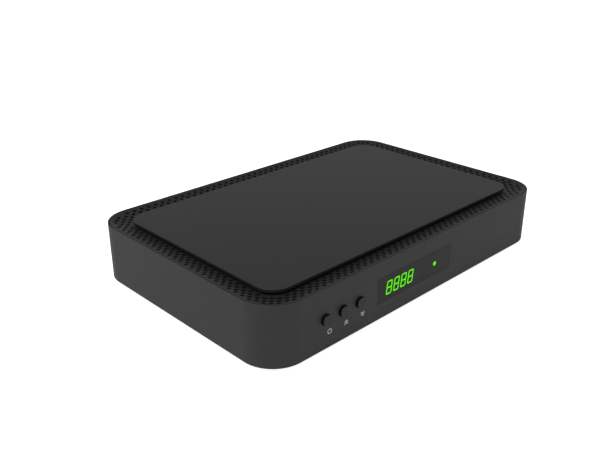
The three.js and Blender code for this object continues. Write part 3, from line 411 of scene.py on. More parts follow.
# %% Glowing resin and printed ink
def glowing(name, colour, strength):
    """A lit resin: its glow is a little stronger in some places than in others."""
    fixed = {"Emission Strength": strength, "Specular IOR Level": 0.0}
    material, shader = new_finish(name, [c * 0.04 for c in colour], 0.4, 0.0, fixed)
    wire = Wire(material.node_tree)
    place = wire.node("TexCoord", {}, {}, "Object")
    cloud = noise(wire, place, 900.0)
    low = [c * 0.9 for c in colour]
    feed(shader, "Emission Color", tint(wire, cloud, low, colour))
    return material


LIT_GREEN = (0.135, 1.0, 0.0)
finishes["lamp_resin"] = glowing("lit resin", LIT_GREEN, 1.0)
ink = grained("pad printed ink", (0.82, 0.82, 0.82), 0.6, 4000.0, 0.005 * MM, 0.05)
missing = sorted(set(slot_of.values()) - set(finishes))
print("slots without a finish:", missing)


# %% [markdown]
# ## Shapes from profiles
#
# Nearly every piece here is one of two kinds. A moulding is a stack of rounded rectangles, each a
# little further in or out than the one below, and a turned piece is a stack of circles. Both are a
# grid of points: one direction runs round the piece and the other climbs its profile. The grid
# becomes a mesh by joining neighbours, and the two ends are closed with a flat face.


# %% Grid to mesh
AXIS_ORDER = {"Z": [0, 1, 2], "Y": [0, 2, 1], "X": [2, 0, 1]}


def stacked(name, grid, axis="Z", at=(0, 0, 0)):
    """Joins the rings of grid[row, place round, xyz] into a closed solid that stands along axis."""
    rows, count = grid.shape[:2]
    points = grid.reshape(-1, 3)[:, AXIS_ORDER[axis]] + np.array(at)
    start = (np.arange(rows - 1)[:, None] * count + np.arange(count)).ravel()
    beside = (np.arange(rows - 1)[:, None] * count + (np.arange(count) + 1) % count).ravel()
    sides = np.stack([start, beside, beside + count, start + count], 1).tolist()
    first = list(range(count))[::-1]
    last = list(range((rows - 1) * count, rows * count))
    return closed_mesh(name, points, [*sides, first, last])


def rectangles(width, depth, corner, profile, steps=24):
    """Rounded rectangles, one for each (inset, height) of the profile: an arc of radius
    corner - inset about each of the four corner centres."""
    quarter = np.repeat(np.arange(4), steps + 1)
    part = np.tile(np.arange(steps + 1) / max(steps, 1), 4)
    angle = (quarter + part) * np.pi / 2
    side_x = np.where((quarter == 0) | (quarter == 3), 1, -1)
    side_y = np.where(quarter < 2, 1, -1)
    centres = np.stack([side_x * (width / 2 - corner), side_y * (depth / 2 - corner)], 1)
    inset, heights = np.array(profile, float).T
    radius = (corner - inset)[:, None, None]
    flat = centres[None] + radius * np.stack([np.cos(angle), np.sin(angle)], 1)[None]
    return np.dstack([flat, np.broadcast_to(heights[:, None], flat.shape[:2])])


def circles(profile, sides=48):
    """Circles, one for each (radius, height) of the profile."""
    angle = np.arange(sides) * 2 * np.pi / sides
    radius, heights = np.array(profile, float).T
    flat = radius[:, None, None] * np.stack([np.cos(angle), np.sin(angle)], 1)[None]
    return np.dstack([flat, np.broadcast_to(heights[:, None], flat.shape[:2])])


def turned(name, profile, axis, at, sides=48):
    """A turned solid: its profile's circles, stacked along axis from the point at."""
    return stacked(name, circles(profile, sides), axis, at)


def posts_at(places, radius, low, high, sides=32):
    """An upright cylinder between two heights at each place."""
    profile = [(radius, low), (radius, high)]
    return [turned("post", profile, "Z", (p.x, p.y, 0), sides) for p in places]


def block(name, low, high):
    """A box between two corners."""
    low, high = np.array(low), np.array(high)
    size = high - low
    ring = rectangles(size[0], size[1], 0, [(0, 0), (0, size[2])], 0)
    return stacked(name, ring, "Z", ((low + high) / 2)[:2].tolist() + [low[2]])


def quarter_round(radius, steps=4):
    """Points (in, up) of a quarter circle, from (radius, 0) out to (0, radius)."""
    angle = np.linspace(0, np.pi / 2, steps + 1)
    return np.stack([radius * (1 - np.sin(angle)), radius * (1 - np.cos(angle))], 1)


print("a quarter round of 1 in four steps:", quarter_round(1.0).round(2).tolist())


# %% [markdown]
# Openings are cut with a Boolean, the way a mould's inserts leave a hole in the plastic. A Boolean
# modifier could stay live, but its cutter would have to stay in the scene too. So each one is
# applied at once and the cutter thrown away, which leaves one clean closed mesh.


# %% Join, cut and finish a piece
def combine(piece, others, operation):
    """Joins ("UNION") or cuts ("DIFFERENCE") solids into a piece, one after another."""
    for other in others:
        step = piece.modifiers.new("step", "BOOLEAN")
        step.operation = operation
        step.solver = "MANIFOLD"
        step.object = other
        graph = bpy.context.evaluated_depsgraph_get()
        result = bpy.data.meshes.new_from_object(piece.evaluated_get(graph))
        piece.modifiers.clear()
        spent = piece.data
        piece.data = result
        bpy.data.meshes.remove(spent)
        bpy.data.objects.remove(other)
    piece.data.name = piece.name
    return piece


CREASE = math.radians(35)


def complete(piece, body, slot, material=None, stands_for=()):
    """Shades a piece smooth between its sharp edges, gives it its finish, and puts it on a body."""
    piece.data.materials.clear()
    piece.data.materials.append(material or finishes[slot])
    piece.data.shade_smooth()
    piece.data.set_sharp_from_angle(angle=CREASE)
    even = piece.modifiers.new("flat faces first", "WEIGHTED_NORMAL")
    even.keep_sharp = True
    if stands_for:
        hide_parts(*stands_for)
    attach(piece, body)
    print(piece.name, len(piece.data.polygons), "faces on", body)
    return piece


def second_finish(piece, material, chosen):
    """Gives another finish to the faces whose centres, an array of points, `chosen` picks."""
    piece.data.materials.append(material)
    centres = np.array([polygon.center for polygon in piece.data.polygons])
    piece.data.polygons.foreach_set("material_index", chosen(centres).astype(np.int32))


def middle_of(node):
    """The middle of a CAD part's box."""
    low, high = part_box(node)
    return (low + high) / 2


print("helpers for pieces ready")

# %% [markdown]
# ## The case
#
# The case is one injection moulding: a floor, four walls and a rim. Its profile runs from the
# middle of the underside out to a small round, up the wall, over the rim, down to the ledge that
# carries the cover, and down the inside. Carrying it round a rounded rectangle gives the whole tub.

# %% Measure the case
case_low, case_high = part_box("case_base")
case_middle = (case_low + case_high) / 2
CASE_WIDTH = case_high.x - case_low.x
CASE_DEPTH = case_high.y - case_low.y
CASE_CORNER = 20 * MM
WALL = 2.2 * MM
FLOOR = 2 * MM
RIM_WIDTH = 0.6 * MM
GROOVE = 0.25 * MM
COVER_SKIN = 1.8 * MM
SEAT = 0.05 * MM
FIT = 0.3 * MM
OVERLAP = 0.5 * MM
floor_top = case_low.z + FLOOR
rim_z = case_high.z
ledge_z = rim_z - COVER_SKIN - SEAT
print("case", [round(v / MM, 2) for v in (CASE_WIDTH, CASE_DEPTH, rim_z - case_low.z)], "mm")

# %% Mould the tub
EDGE_ROUND = 0.5 * MM
RIM_ROUND = 0.2 * MM
foot = quarter_round(EDGE_ROUND)
lip = quarter_round(RIM_ROUND)[::-1]
case_profile = [
    *[(inset, case_low.z + rise) for inset, rise in foot],
    *[(inset, rim_z - rise) for inset, rise in lip],
    (RIM_WIDTH, rim_z),
    (RIM_WIDTH, ledge_z),
    (WALL, ledge_z),
    (WALL, floor_top),
]
tub = rectangles(CASE_WIDTH, CASE_DEPTH, CASE_CORNER, case_profile, 32)
case = stacked("case_moulding", tub, "Z", (case_middle.x, case_middle.y, 0))
print("tub rings", tub.shape)

# %% [markdown]
# Inside stand the bosses for the screws, the standoffs of the main board, the staked pegs that hold
# the drive's tray, and two slotted uprights for the front board. Each one belongs to a part that
# the frame already holds, so its place comes from that part.

# %% Add the bosses and cut the screw holes
BOSS = 4.5 * MM
BOSS_TOP = 8 * MM
STANDOFF = 3 * MM
COUNTERBORE = 4.5 * MM
SCREW_HEAD = 2.75 * MM
SCREW_SHANK = 1.5 * MM
BOARD_SHANK = 1.25 * MM
board_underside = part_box("main_board")[0].z
case_screws = [middle_of(f"case_screw_{i}") for i in range(1, 5)]
board_screws = [middle_of(f"board_screw_{i}") for i in range(1, 5)]
feet = [middle_of(f"foot_{i}") for i in range(1, 5)]

boss_top = case_low.z + BOSS_TOP
root = floor_top - OVERLAP
stand_top = board_underside - SEAT
combine(case, posts_at(case_screws, BOSS, root, boss_top), "UNION")
combine(case, posts_at(board_screws, STANDOFF, root, stand_top), "UNION")

STAKE_SEAT, STAKE_PIN, STAKE_HEAD = 3.5 * MM, 1.3 * MM, 2.2 * MM
STAKE_RISE, STAKE_TAPER = 0.7 * MM, 0.2 * MM
STAKE_X, STAKE_Y = 27.925 * MM, 44 * MM
TRAY_SHEET = 1 * MM
tray_low, tray_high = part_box("drive_bracket")
tray_middle = (tray_low + tray_high) / 2
tray_top = tray_low.z + TRAY_SHEET + SEAT
peg = [
    (STAKE_SEAT, root),
    (STAKE_SEAT, tray_low.z - SEAT),
    (STAKE_PIN, tray_low.z - SEAT),
    (STAKE_PIN, tray_top),
    (STAKE_HEAD, tray_top),
    (STAKE_HEAD - STAKE_TAPER, tray_top + STAKE_RISE),
]
stakes = [
    turned("stake", peg, "Z", (tray_middle.x + x, tray_middle.y + y, 0), 24)
    for x in (-STAKE_X, STAKE_X)
    for y in (-STAKE_Y, STAKE_Y)
]
combine(case, stakes, "UNION")

GUIDE_WIDTH, GUIDE_DEPTH, GUIDE_RISE = 5 * MM, 6 * MM, 16 * MM
sheet_low, sheet_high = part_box("front_board")
sheet_y = (sheet_low.y + sheet_high.y) / 2
for edge_x in (sheet_low.x, sheet_high.x):
    low = (edge_x - GUIDE_WIDTH / 2, sheet_y - GUIDE_DEPTH / 2, root)
    high = (edge_x + GUIDE_WIDTH / 2, sheet_y + GUIDE_DEPTH / 2, floor_top + GUIDE_RISE)
    combine(case, [block("guide", low, high)], "UNION")
slot_low = (sheet_low.x - OVERLAP, sheet_low.y - FIT, sheet_low.z - FIT)
slot_high = (sheet_high.x + OVERLAP, sheet_high.y + FIT, sheet_high.z)
combine(case, [block("slot", slot_low, slot_high)], "DIFFERENCE")

below = case_low.z - 1 * MM
counterbore = case_low.z + COUNTERBORE
holes = posts_at(case_screws, SCREW_HEAD + FIT, below, counterbore)
holes += posts_at(case_screws, SCREW_SHANK + FIT, below, boss_top + MM)
holes += posts_at(board_screws, BOARD_SHANK + FIT, floor_top + FIT, stand_top + MM)
combine(case, holes, "DIFFERENCE")
print("bosses at", [(round(p.x / MM, 1), round(p.y / MM, 1)) for p in case_screws])

# %% Sink the feet and cut the floor's cooling slots
FOOT_RADIUS = 7 * MM
FOOT_POCKET = 0.8 * MM
SLOT_PITCH = 8 * MM
SLOT_WIDTH = 2.6 * MM
SLOT_LENGTH = 34 * MM
SLOT_BANKS = (-22 * MM, 22 * MM)
SLOTS = 11
board_low, board_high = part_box("main_board")
board_middle = (board_low.x + board_high.x) / 2


def stadium(name, x, y):
    """A slot with round ends: a rounded rectangle whose corners are as big as its width allows."""
    ring = rectangles(SLOT_WIDTH, SLOT_LENGTH, SLOT_WIDTH / 2, [(0, 0), (0, 2 * FLOOR)], 8)
    return stacked(name, ring, "Z", (x, y, case_low.z - FLOOR / 2))


pockets = posts_at(feet, FOOT_RADIUS + FIT, below, case_low.z + FOOT_POCKET, 64)
slots = [
    stadium("slot", board_middle + i * SLOT_PITCH, case_middle.y + bank)
    for bank in SLOT_BANKS
    for i in range(-(SLOTS // 2), SLOTS // 2 + 1)
]
combine(case, pockets + slots, "DIFFERENCE")
print(len(slots), "cooling slots")

# %% [markdown]
# The front wall has a shallow recess that takes the window flush, with a smaller opening behind it
# that leaves a ledge to glue to. The back wall has the same for the connector panel.

# %% Cut the window, the button holes and the back opening
window_low, window_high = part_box("display_window")
panel_low, panel_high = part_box("rear_panel")
WINDOW_GAP = 0.1 * MM
LEDGE = 1.5 * MM
PANEL_GAP = 0.2 * MM
PANEL_LEDGE = 1.5 * MM
BUTTON_HOLE = 3.3 * MM
OUT = 2 * MM
BUTTONS = ("power", "channel_up", "channel_down")
buttons = {name: middle_of(f"{name}_button") for name in BUTTONS}


def recess(low, high, grow, back_y, front_y):
    """A box along Y over a part's outline, grown by `grow` all round."""
    near = (low.x - grow, min(front_y, back_y), low.z - grow)
    return block("recess", near, (high.x + grow, max(front_y, back_y), high.z + grow))


front_y = case_low.y
back_y = case_high.y
cutters = [
    recess(window_low, window_high, WINDOW_GAP, window_high.y + SEAT, front_y - OUT),
    recess(window_low, window_high, WINDOW_GAP - LEDGE, front_y + WALL + MM, front_y - OUT),
    recess(panel_low, panel_high, PANEL_GAP, panel_low.y - SEAT, back_y + OUT),
    recess(panel_low, panel_high, -PANEL_LEDGE, back_y - WALL - MM, back_y + OUT),
]
for place in buttons.values():
    reach = [(BUTTON_HOLE, front_y - OUT), (BUTTON_HOLE, front_y + WALL + MM)]
    cutters.append(turned("hole", reach, "Y", (place.x, 0, place.z), 64))
combine(case, cutters, "DIFFERENCE")
complete(case, "chassis", "case_plastic", stands_for=["case_base"])

# %% [markdown]
# ## The cover and its holes
#
# The cover is a dish with several hundred holes in its border. Cutting them one by one would take
# hundreds of Booleans. A faster way is to work in plan: lay out the outlines of the cover and of
# every hole as flat loops, let a Delaunay triangulation fill what is between them, and only then
# lift each point to the height of the dish. A copy 1.8 mm lower, with walls along every open edge,
# makes it a solid sheet. The middles between the holes are added as points too, so that the
# triangles stay small where the dish curves round the corners.


# %% The dish as a formula
LAND = 1.3 * MM
DISH_RUN = 12.6 * MM
DISH_DROP = 2.5 * MM
COVER_EDGE = RIM_WIDTH + GROOVE
deck_z = rim_z - DISH_DROP


def inside_by(x, y, width, depth, corner):
    """How far a point lies inside a rounded rectangle: its distance to the outline, in plan."""
    past_x = np.abs(x) - (width / 2 - corner)
    past_y = np.abs(y) - (depth / 2 - corner)
    beyond = np.hypot(np.maximum(past_x, 0), np.maximum(past_y, 0))
    within = np.minimum(np.maximum(past_x, past_y), 0)
    return corner - beyond - within


def dish(x, y):
    """Height of the cover: flat on the land, then falling as part * (2 - part), so that the fall
    is steep at first and level where it meets the deck."""
    inset = inside_by(x, y, CASE_WIDTH, CASE_DEPTH, CASE_CORNER)
    part = np.clip((inset - LAND) / DISH_RUN, 0, 1)
    return rim_z - DISH_DROP * part * (2 - part)


def dish_top(x, y):
    """The same, with a small round along the outer edge."""
    inset = inside_by(x, y, CASE_WIDTH, CASE_DEPTH, CASE_CORNER)
    short = np.clip((COVER_EDGE + RIM_ROUND - inset) / RIM_ROUND, 0, 1)
    return dish(x, y) - RIM_ROUND * (1 - np.sqrt(np.maximum(1 - short**2, 0)))


print("deck at", round(deck_z / MM, 2), "mm")

# %% Lay out the holes
HOLE_RADIUS = 1.2 * MM
HOLE_SIDES = 16
HOLE_MARGIN = 4.2 * MM
COLUMNS, ROWS = 90, 58
SITE_SLACK = 0.5 * MM
FREE_FROM, FREE_TO = LAND + 0.3 * MM, LAND + DISH_RUN - MM
PLATE_CLEAR = 0.9 * MM
plate_low, plate_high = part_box("top_plate")
plate_width = plate_high.x - plate_low.x
plate_depth = plate_high.y - plate_low.y
PLATE_CORNER = 11.7 * MM

column, row = np.meshgrid(np.arange(COLUMNS + 1), np.arange(ROWS + 1), indexing="ij")
site_x = (column / COLUMNS - 0.5) * (CASE_WIDTH - 2 * HOLE_MARGIN)
site_y = (row / ROWS - 0.5) * (CASE_DEPTH - 2 * HOLE_MARGIN)
site_inset = inside_by(site_x, site_y, CASE_WIDTH, CASE_DEPTH, CASE_CORNER)
from_plate = -inside_by(site_x, site_y, plate_width, plate_depth, PLATE_CORNER)
even_site = (column + row) % 2 == 0
in_border = (site_inset > HOLE_MARGIN - SITE_SLACK) & (from_plate > PLATE_CLEAR)
is_hole = in_border & even_site
hole_centres = np.stack([site_x[is_hole], site_y[is_hole]], 1)
between = ~even_site & (site_inset > FREE_FROM) & (site_inset < FREE_TO)
print(len(hole_centres), "holes")

# %% Fill the plan with triangles
PEG_HOLE = 1.8 * MM
PEG_X, PEG_Y = 84.9 * MM, 47.4 * MM
pegs = np.array([(x, y) for x in (-PEG_X, 0, PEG_X) for y in (-PEG_Y, PEG_Y)])
spin = np.arange(HOLE_SIDES) * 2 * np.pi / HOLE_SIDES
unit_ring = np.stack([np.cos(spin), np.sin(spin)], 1)


def plan_loop(inset):
    """The cover's outline, `inset` in from the outside of the case."""
    return rectangles(CASE_WIDTH, CASE_DEPTH, CASE_CORNER, [(inset, 0)], 32)[0, :, :2]


INTO_DISH = 0.8 * MM
outlines = [COVER_EDGE, COVER_EDGE + RIM_ROUND / 2, COVER_EDGE + RIM_ROUND, LAND, LAND + INTO_DISH]
loops = [plan_loop(inset) for inset in outlines]
loops += [centre + HOLE_RADIUS * unit_ring for centre in hole_centres]
loops += [centre + PEG_HOLE * unit_ring for centre in pegs]
free = np.stack([site_x[between], site_y[between]], 1)
plan = np.concatenate([*loops, free]) / MM
borders = []
first = 0
for loop in loops:
    here = np.arange(len(loop))
    borders += np.stack([first + here, first + (here + 1) % len(loop)], 1).tolist()
    first += len(loop)
SAME_POINT = 1e-5
found = delaunay_2d_cdt([Vector(p) for p in plan], borders, [], 0, SAME_POINT)
flat = np.array(found[0]) * MM
triangles = np.array(found[2])
print(len(plan), "points in,", len(triangles), "triangles out")


# %% Throw away what lies in a hole
def in_polygon(points, centres, radius):
    """True for points inside the hole polygon about their own centre: below all its sides."""
    middles = spin + np.pi / HOLE_SIDES
    facing = np.stack([np.cos(middles), np.sin(middles)])
    return ((points - centres) @ facing).max(1) < radius * np.cos(np.pi / HOLE_SIDES)


centroid = flat[triangles].mean(1)
pitch = np.array([CASE_WIDTH - 2 * HOLE_MARGIN, CASE_DEPTH - 2 * HOLE_MARGIN]) / (COLUMNS, ROWS)
spread = np.array([CASE_WIDTH, CASE_DEPTH]) / 2 - HOLE_MARGIN
nearest = np.clip(np.rint((centroid + spread) / pitch).astype(int), 0, (COLUMNS, ROWS))
open_here = is_hole[nearest[:, 0], nearest[:, 1]]
open_here &= in_polygon(centroid, nearest * pitch - spread, HOLE_RADIUS)
peg_gap = np.linalg.norm(centroid[:, None] - pegs[None], axis=2)
open_here |= in_polygon(centroid, pegs[peg_gap.argmin(1)], PEG_HOLE)
edge_inset = inside_by(centroid[:, 0], centroid[:, 1], CASE_WIDTH, CASE_DEPTH, CASE_CORNER)
kept = triangles[~open_here & (edge_inset > COVER_EDGE - SAME_POINT)]
print(len(kept), "triangles kept")


# %% Lift the plan into a solid sheet
def solid_sheet(name, flat, kept, top, bottom, at):
    """A sheet between two heights over a plan: its top, the same turned over, and a wall along
    every edge that only one triangle has."""
    used, kept = np.unique(kept, return_inverse=True)
    kept = kept.reshape(-1, 3)
    x, y = flat[used].T
    points = np.concatenate([np.stack([x, y, top(x, y)], 1), np.stack([x, y, bottom(x, y)], 1)])
    count = len(used)
    edges = np.concatenate([kept[:, [0, 1]], kept[:, [1, 2]], kept[:, [2, 0]]])
    key = np.sort(edges, 1) @ np.array([count, 1])
    _, where, times = np.unique(key, return_index=True, return_counts=True)
    a, b = edges[where[times == 1]].T
    walls = np.stack([b, a, a + count, b + count], 1).tolist()
    faces = kept.tolist() + (kept[:, ::-1] + count).tolist() + walls
    return closed_mesh(name, points + np.array(at), faces)


centre = (case_middle.x, case_middle.y, 0)
cover = solid_sheet(
    "perforated_cover", flat, kept, dish_top, lambda x, y: dish(x, y) - COVER_SKIN, centre
)
print("cover has", len(cover.data.polygons), "faces")

# %% [markdown]
# Under the sheet a rib drops inside the wall of the tub to line the cover up, and four posts meet
# the screw bosses. They are joined on with Booleans, because they are few.

# %% Add the rib and the posts
TONGUE_OUT = WALL + FIT
TONGUE_IN = TONGUE_OUT + 1.2 * MM
TONGUE_TOP, TONGUE_FOOT = 0.2 * MM, 2.5 * MM
POST = 3.5 * MM
POST_INTO_SKIN = 0.8 * MM
PILOT_DEPTH = 13 * MM


def band(inset, low, high):
    """A solid with the outline of the case, `inset` in, between two heights."""
    rings = rectangles(CASE_WIDTH, CASE_DEPTH, CASE_CORNER, [(inset, low), (inset, high)], 32)
    return stacked("band", rings, "Z", centre)


skin_foot = rim_z - COVER_SKIN
outer = band(TONGUE_OUT, skin_foot - TONGUE_FOOT, skin_foot + TONGUE_TOP)
inner = band(TONGUE_IN, skin_foot - TONGUE_FOOT - MM, skin_foot + TONGUE_TOP + MM)
rib = combine(outer, [inner], "DIFFERENCE")
under_post = deck_z - COVER_SKIN + POST_INTO_SKIN
combine(cover, [rib, *posts_at(case_screws, POST, boss_top + FIT, under_post)], "UNION")
pilots = posts_at(case_screws, SCREW_SHANK + FIT, boss_top, counterbore + PILOT_DEPTH)
combine(cover, pilots, "DIFFERENCE")
# Painted shade: the cover's plastic is made darker than the case's, for the shade that falls in the
# dish round the plate.
cover_painted_shade = grained("cover plastic darkened for shade", (0.022, 0.022, 0.023), 0.42)
complete(cover, "chassis", "case_plastic", cover_painted_shade, stands_for=["top_cover"])

# %% [markdown]
# ## The plate
#
# A flat plate with softly rounded edges floats over the middle of the dish. It stands on six short
# bosses, whose pegs go through the deck and are staked over underneath.

# %% Mould the plate
PLATE_THICK = 1.7 * MM
PLATE_ROUND = 0.15 * MM
BOSS_UNDER_PLATE = 3 * MM
PEG = 1.5 * MM
PEG_HEAD = 0.8 * MM
plate_top = plate_high.z
plate_foot = plate_top - PLATE_THICK
soft = quarter_round(PLATE_ROUND, 3)
plate_profile = [(i, plate_foot + rise) for i, rise in soft]
plate_profile += [(i, plate_top - rise) for i, rise in soft[::-1]]
plate_rings = rectangles(plate_width, plate_depth, PLATE_CORNER, plate_profile, 32)
plate = stacked("top_plate_moulding", plate_rings, "Z", centre)
head_top = deck_z - COVER_SKIN - SEAT
PEG_HEAD_WIDER = 1 * MM
for x, y in pegs + np.array([case_middle.x, case_middle.y]):
    stack = [
        (PEG + PEG_HEAD_WIDER, head_top - PEG_HEAD),
        (PEG + PEG_HEAD_WIDER, head_top),
        (PEG, head_top),
        (PEG, deck_z + SEAT),
        (BOSS_UNDER_PLATE, deck_z + SEAT),
        (BOSS_UNDER_PLATE, plate_top - MM),
    ]
    combine(plate, [turned("peg", stack, "Z", (x, y, 0), 24)], "UNION")
complete(plate, "chassis", "plate_plastic", stands_for=["top_plate"])

# %% [markdown]
# ## Window, digits and lamp
#
# The window is a sheet of black smoked acrylic. The light reaches its face through clear pipes that
# are moulded into it: one for each of the seven bars of a digit, and a round one for the lamp. A
# bar is a flat hexagon, drawn out from the display to the face. Two tables say where the lying and
# the standing bars sit, and the same outlines, a hair wider, cut the openings in the sheet.

# %% Outline the bars of the digits
DIGITS = 4
DIGIT_PITCH = 6.1 * MM
DIGIT_WIDTH = 4.6 * MM
DIGIT_HEIGHT = 8.2 * MM
BAR = 0.84 * MM
BAR_GAP = 0.12 * MM
BAR_POINT = 0.35
SLANT = math.tan(math.radians(7))
PIPE_FIT = 0.02 * MM
DIGITS_FROM_MIDDLE = (-1.32 * MM, 0.53 * MM)
display_low, display_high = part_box("digit_display")
digits_x = (display_low.x + display_high.x) / 2 + DIGITS_FROM_MIDDLE[0]
digits_z = (display_low.z + display_high.z) / 2 + DIGITS_FROM_MIDDLE[1]
LYING = [(0, -1), (0, 0), (0, 1)]
STANDING = [(-1, -0.5), (1, -0.5), (-1, 0.5), (1, 0.5)]


def bar_outlines(grow):
    """The hexagons of every bar as points[bar, corner, (x, z)], each grown by `grow` all round."""
    side = BAR / 2 + grow
    outlines = []
    for places, reach, order in (
        (LYING, DIGIT_WIDTH - BAR, (0, 1)),
        (STANDING, (DIGIT_HEIGHT - BAR) / 2, (1, 0)),
    ):
        half = (reach + BAR * (1 - BAR_POINT)) / 2 - BAR_GAP + grow
        along = np.array([-half, side - half, half - side, half, half - side, side - half])
        across = np.array([0, -side, -side, 0, side, side])
        hexagon = np.stack([along, across], 1)[:, order]
        size = np.array([DIGIT_WIDTH - BAR, DIGIT_HEIGHT - BAR]) / 2
        outlines.append(hexagon + (np.array(places) * size)[:, None])
    digit = np.concatenate(outlines)
    digit[..., 0] += digit[..., 1] * SLANT
    step = (np.arange(DIGITS) - (DIGITS - 1) / 2) * DIGIT_PITCH
    shift = np.stack([digits_x + step, np.full(DIGITS, digits_z)], 1)
    return (digit + shift[:, None, None]).reshape(-1, 6, 2)


print(len(bar_outlines(0)), "bars")


# %% Draw the outlines out into pipes
def drawn_out(name, outline, near_y, far_y, middle=Vector((0, 0, 0))):
    """A prism along Y: an outline of (x, z) points about a middle, between two depths."""
    ends = [np.column_stack([outline, np.full(len(outline), y)]) for y in (near_y, far_y)]
    return stacked(name, np.stack(ends), "Y", (middle.x, 0, middle.z))


def pipes(name, grow, near_y, far_y):
    """The bars of all digits, drawn out along Y and joined where they touch."""
    bars = [drawn_out(name, outline, near_y, far_y) for outline in bar_outlines(grow)]
    return combine(bars[0], bars[1:], "UNION")


PIPE_PROUD = 0.02 * MM
pipe_near = window_low.y - PIPE_PROUD
display_face = display_low.y - SEAT
digits = pipes("digit_bars", 0, pipe_near, display_face)
complete(digits, "chassis", "lamp_resin")

# %% [markdown]
# The lamp is a turned diode: a round lens on a barrel, in a dark sleeve. Its light pipe is a short
# rod with a slightly domed end.

# %% Turn the lamp and its pipe
LAMP_FLANGE = 0.4 * MM
LAMP_PIPE = 1.32 * MM
LAMP_CROWN = 0.12 * MM
SLEEVE_FROM = 0.8
lamp_low, lamp_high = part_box("status_led")
lamp_middle = (lamp_low + lamp_high) / 2
lamp_radius = (lamp_high.z - lamp_low.z) / 2 - LAMP_FLANGE
angle = np.linspace(0.06, np.pi / 2, 8)
dome_rows = np.stack([lamp_radius * np.sin(angle), lamp_radius * (1 - np.cos(angle))], 1)
lamp_profile = [(radius, lamp_low.y + back) for radius, back in dome_rows]
lamp_profile += [
    (lamp_radius, lamp_high.y - MM),
    (lamp_radius + LAMP_FLANGE, lamp_high.y - MM),
    (lamp_radius + LAMP_FLANGE, lamp_high.y),
]
lamp_at = (lamp_middle.x, 0, lamp_middle.z)
lamp = turned("status_lamp", lamp_profile, "Y", lamp_at, 32)
complete(lamp, "chassis", "lamp_resin", stands_for=["status_led"])
sleeve_y = lamp_low.y + SLEEVE_FROM * lamp_radius
second_finish(lamp, finishes["socket_plastic"], lambda centres: centres[:, 1] > sleeve_y)

part = np.linspace(0.1, 1, 6)
crown_rows = np.stack([LAMP_PIPE * part, pipe_near + LAMP_CROWN * (part**2 - 1)], 1)
pipe_profile = [*crown_rows.tolist(), (LAMP_PIPE, lamp_low.y - SEAT)]
complete(turned("lamp_pipe", pipe_profile, "Y", lamp_at, 48), "chassis", "lamp_resin")
print("lamp radius", round(lamp_radius / MM, 2), "mm")

# %% Set the window
WINDOW_ROUND = 0.08 * MM
WINDOW_CORNER = 0.4 * MM
size = window_high - window_low
edge = quarter_round(WINDOW_ROUND, 2)
sheet_profile = [(i, rise) for i, rise in edge] + [(i, size.y - rise) for i, rise in edge[::-1]]
sheet_rings = rectangles(size.x, size.z, WINDOW_CORNER, sheet_profile, 4)
window_middle = (window_low + window_high) / 2
window_at = (window_middle.x, window_low.y, window_middle.z)
window = stacked("window_sheet", sheet_rings, "Y", window_at)
before, behind = window_low.y - MM, window_high.y + MM
openings = pipes("openings", PIPE_FIT, before, behind)
lamp_hole = [(LAMP_PIPE + PIPE_FIT, before), (LAMP_PIPE + PIPE_FIT, behind)]
combine(window, [openings, turned("hole", lamp_hole, "Y", lamp_at, 48)], "DIFFERENCE")
complete(window, "chassis", "window_acrylic", stands_for=["display_window"])

# %% [markdown]
# ## Buttons and their marks
#
# Each button is turned: a flat cap with a rounded edge, a flange that keeps it in the case, and a
# plunger that reaches the switch. It rides on its own body, because it moves when it is pressed.
# The face has the same fine grain as the case, while the cap's side is painted near black with a
# dimmed reflection: painted shade, standing in for the shadow on the sides of the cap.

# %% Turn the caps
CAP_EDGE = 0.35 * MM
FLANGE_WIDER = 1.15 * MM
FLANGE_THICK = 1 * MM
PLUNGER = 1.5 * MM
FLANGE_GAP = 0.1 * MM
FACE_SHARE = 0.7
# Painted shade: the cap's side gets a near-black finish with a dimmed reflection, for the shadow
# that falls on it.
dim_for_shade = {"Specular IOR Level": 0.15}
side_painted_shade = grained("button skirt", (0.004, 0.004, 0.004), 0.45, 3000.0, 0.004 * MM, 0.1, dim_for_shade)
flange_at = front_y + WALL + FLANGE_GAP
for name, place in buttons.items():
    low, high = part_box(f"{name}_button")
    cap_radius = (high.x - low.x) / 2 - FLANGE_WIDER
    edge = quarter_round(CAP_EDGE, 4)
    profile = [(cap_radius - i, low.y + rise) for i, rise in edge]
    profile += [
        (cap_radius, flange_at),
        (cap_radius + FLANGE_WIDER, flange_at),
        (cap_radius + FLANGE_WIDER, flange_at + FLANGE_THICK),
        (PLUNGER, flange_at + FLANGE_THICK),
        (PLUNGER, high.y),
    ]
    cap = turned(f"{name}_cap", profile, "Y", (place.x, 0, place.z), 64)
    complete(cap, f"{name}_button", "button_plastic", stands_for=[f"{name}_button"])
    # The faces behind the front round of the cap take the painted-shade finish.
    side_shade_from_y = low.y + FACE_SHARE * CAP_EDGE
    second_finish(cap, side_painted_shade, lambda centres: centres[:, 1] > side_shade_from_y)
print("cap radius", round(cap_radius / MM, 2), "mm")

# %% [markdown]
# The marks are printed on the wall. Each is a flat shape three hundredths of a millimetre thick: a
# ring with a bar for the power button, and a pair of arrowheads for up and down.

# %% Print the marks
INK = 0.03 * MM
INK_GAP = 0.01 * MM
STROKE = 0.6 * MM


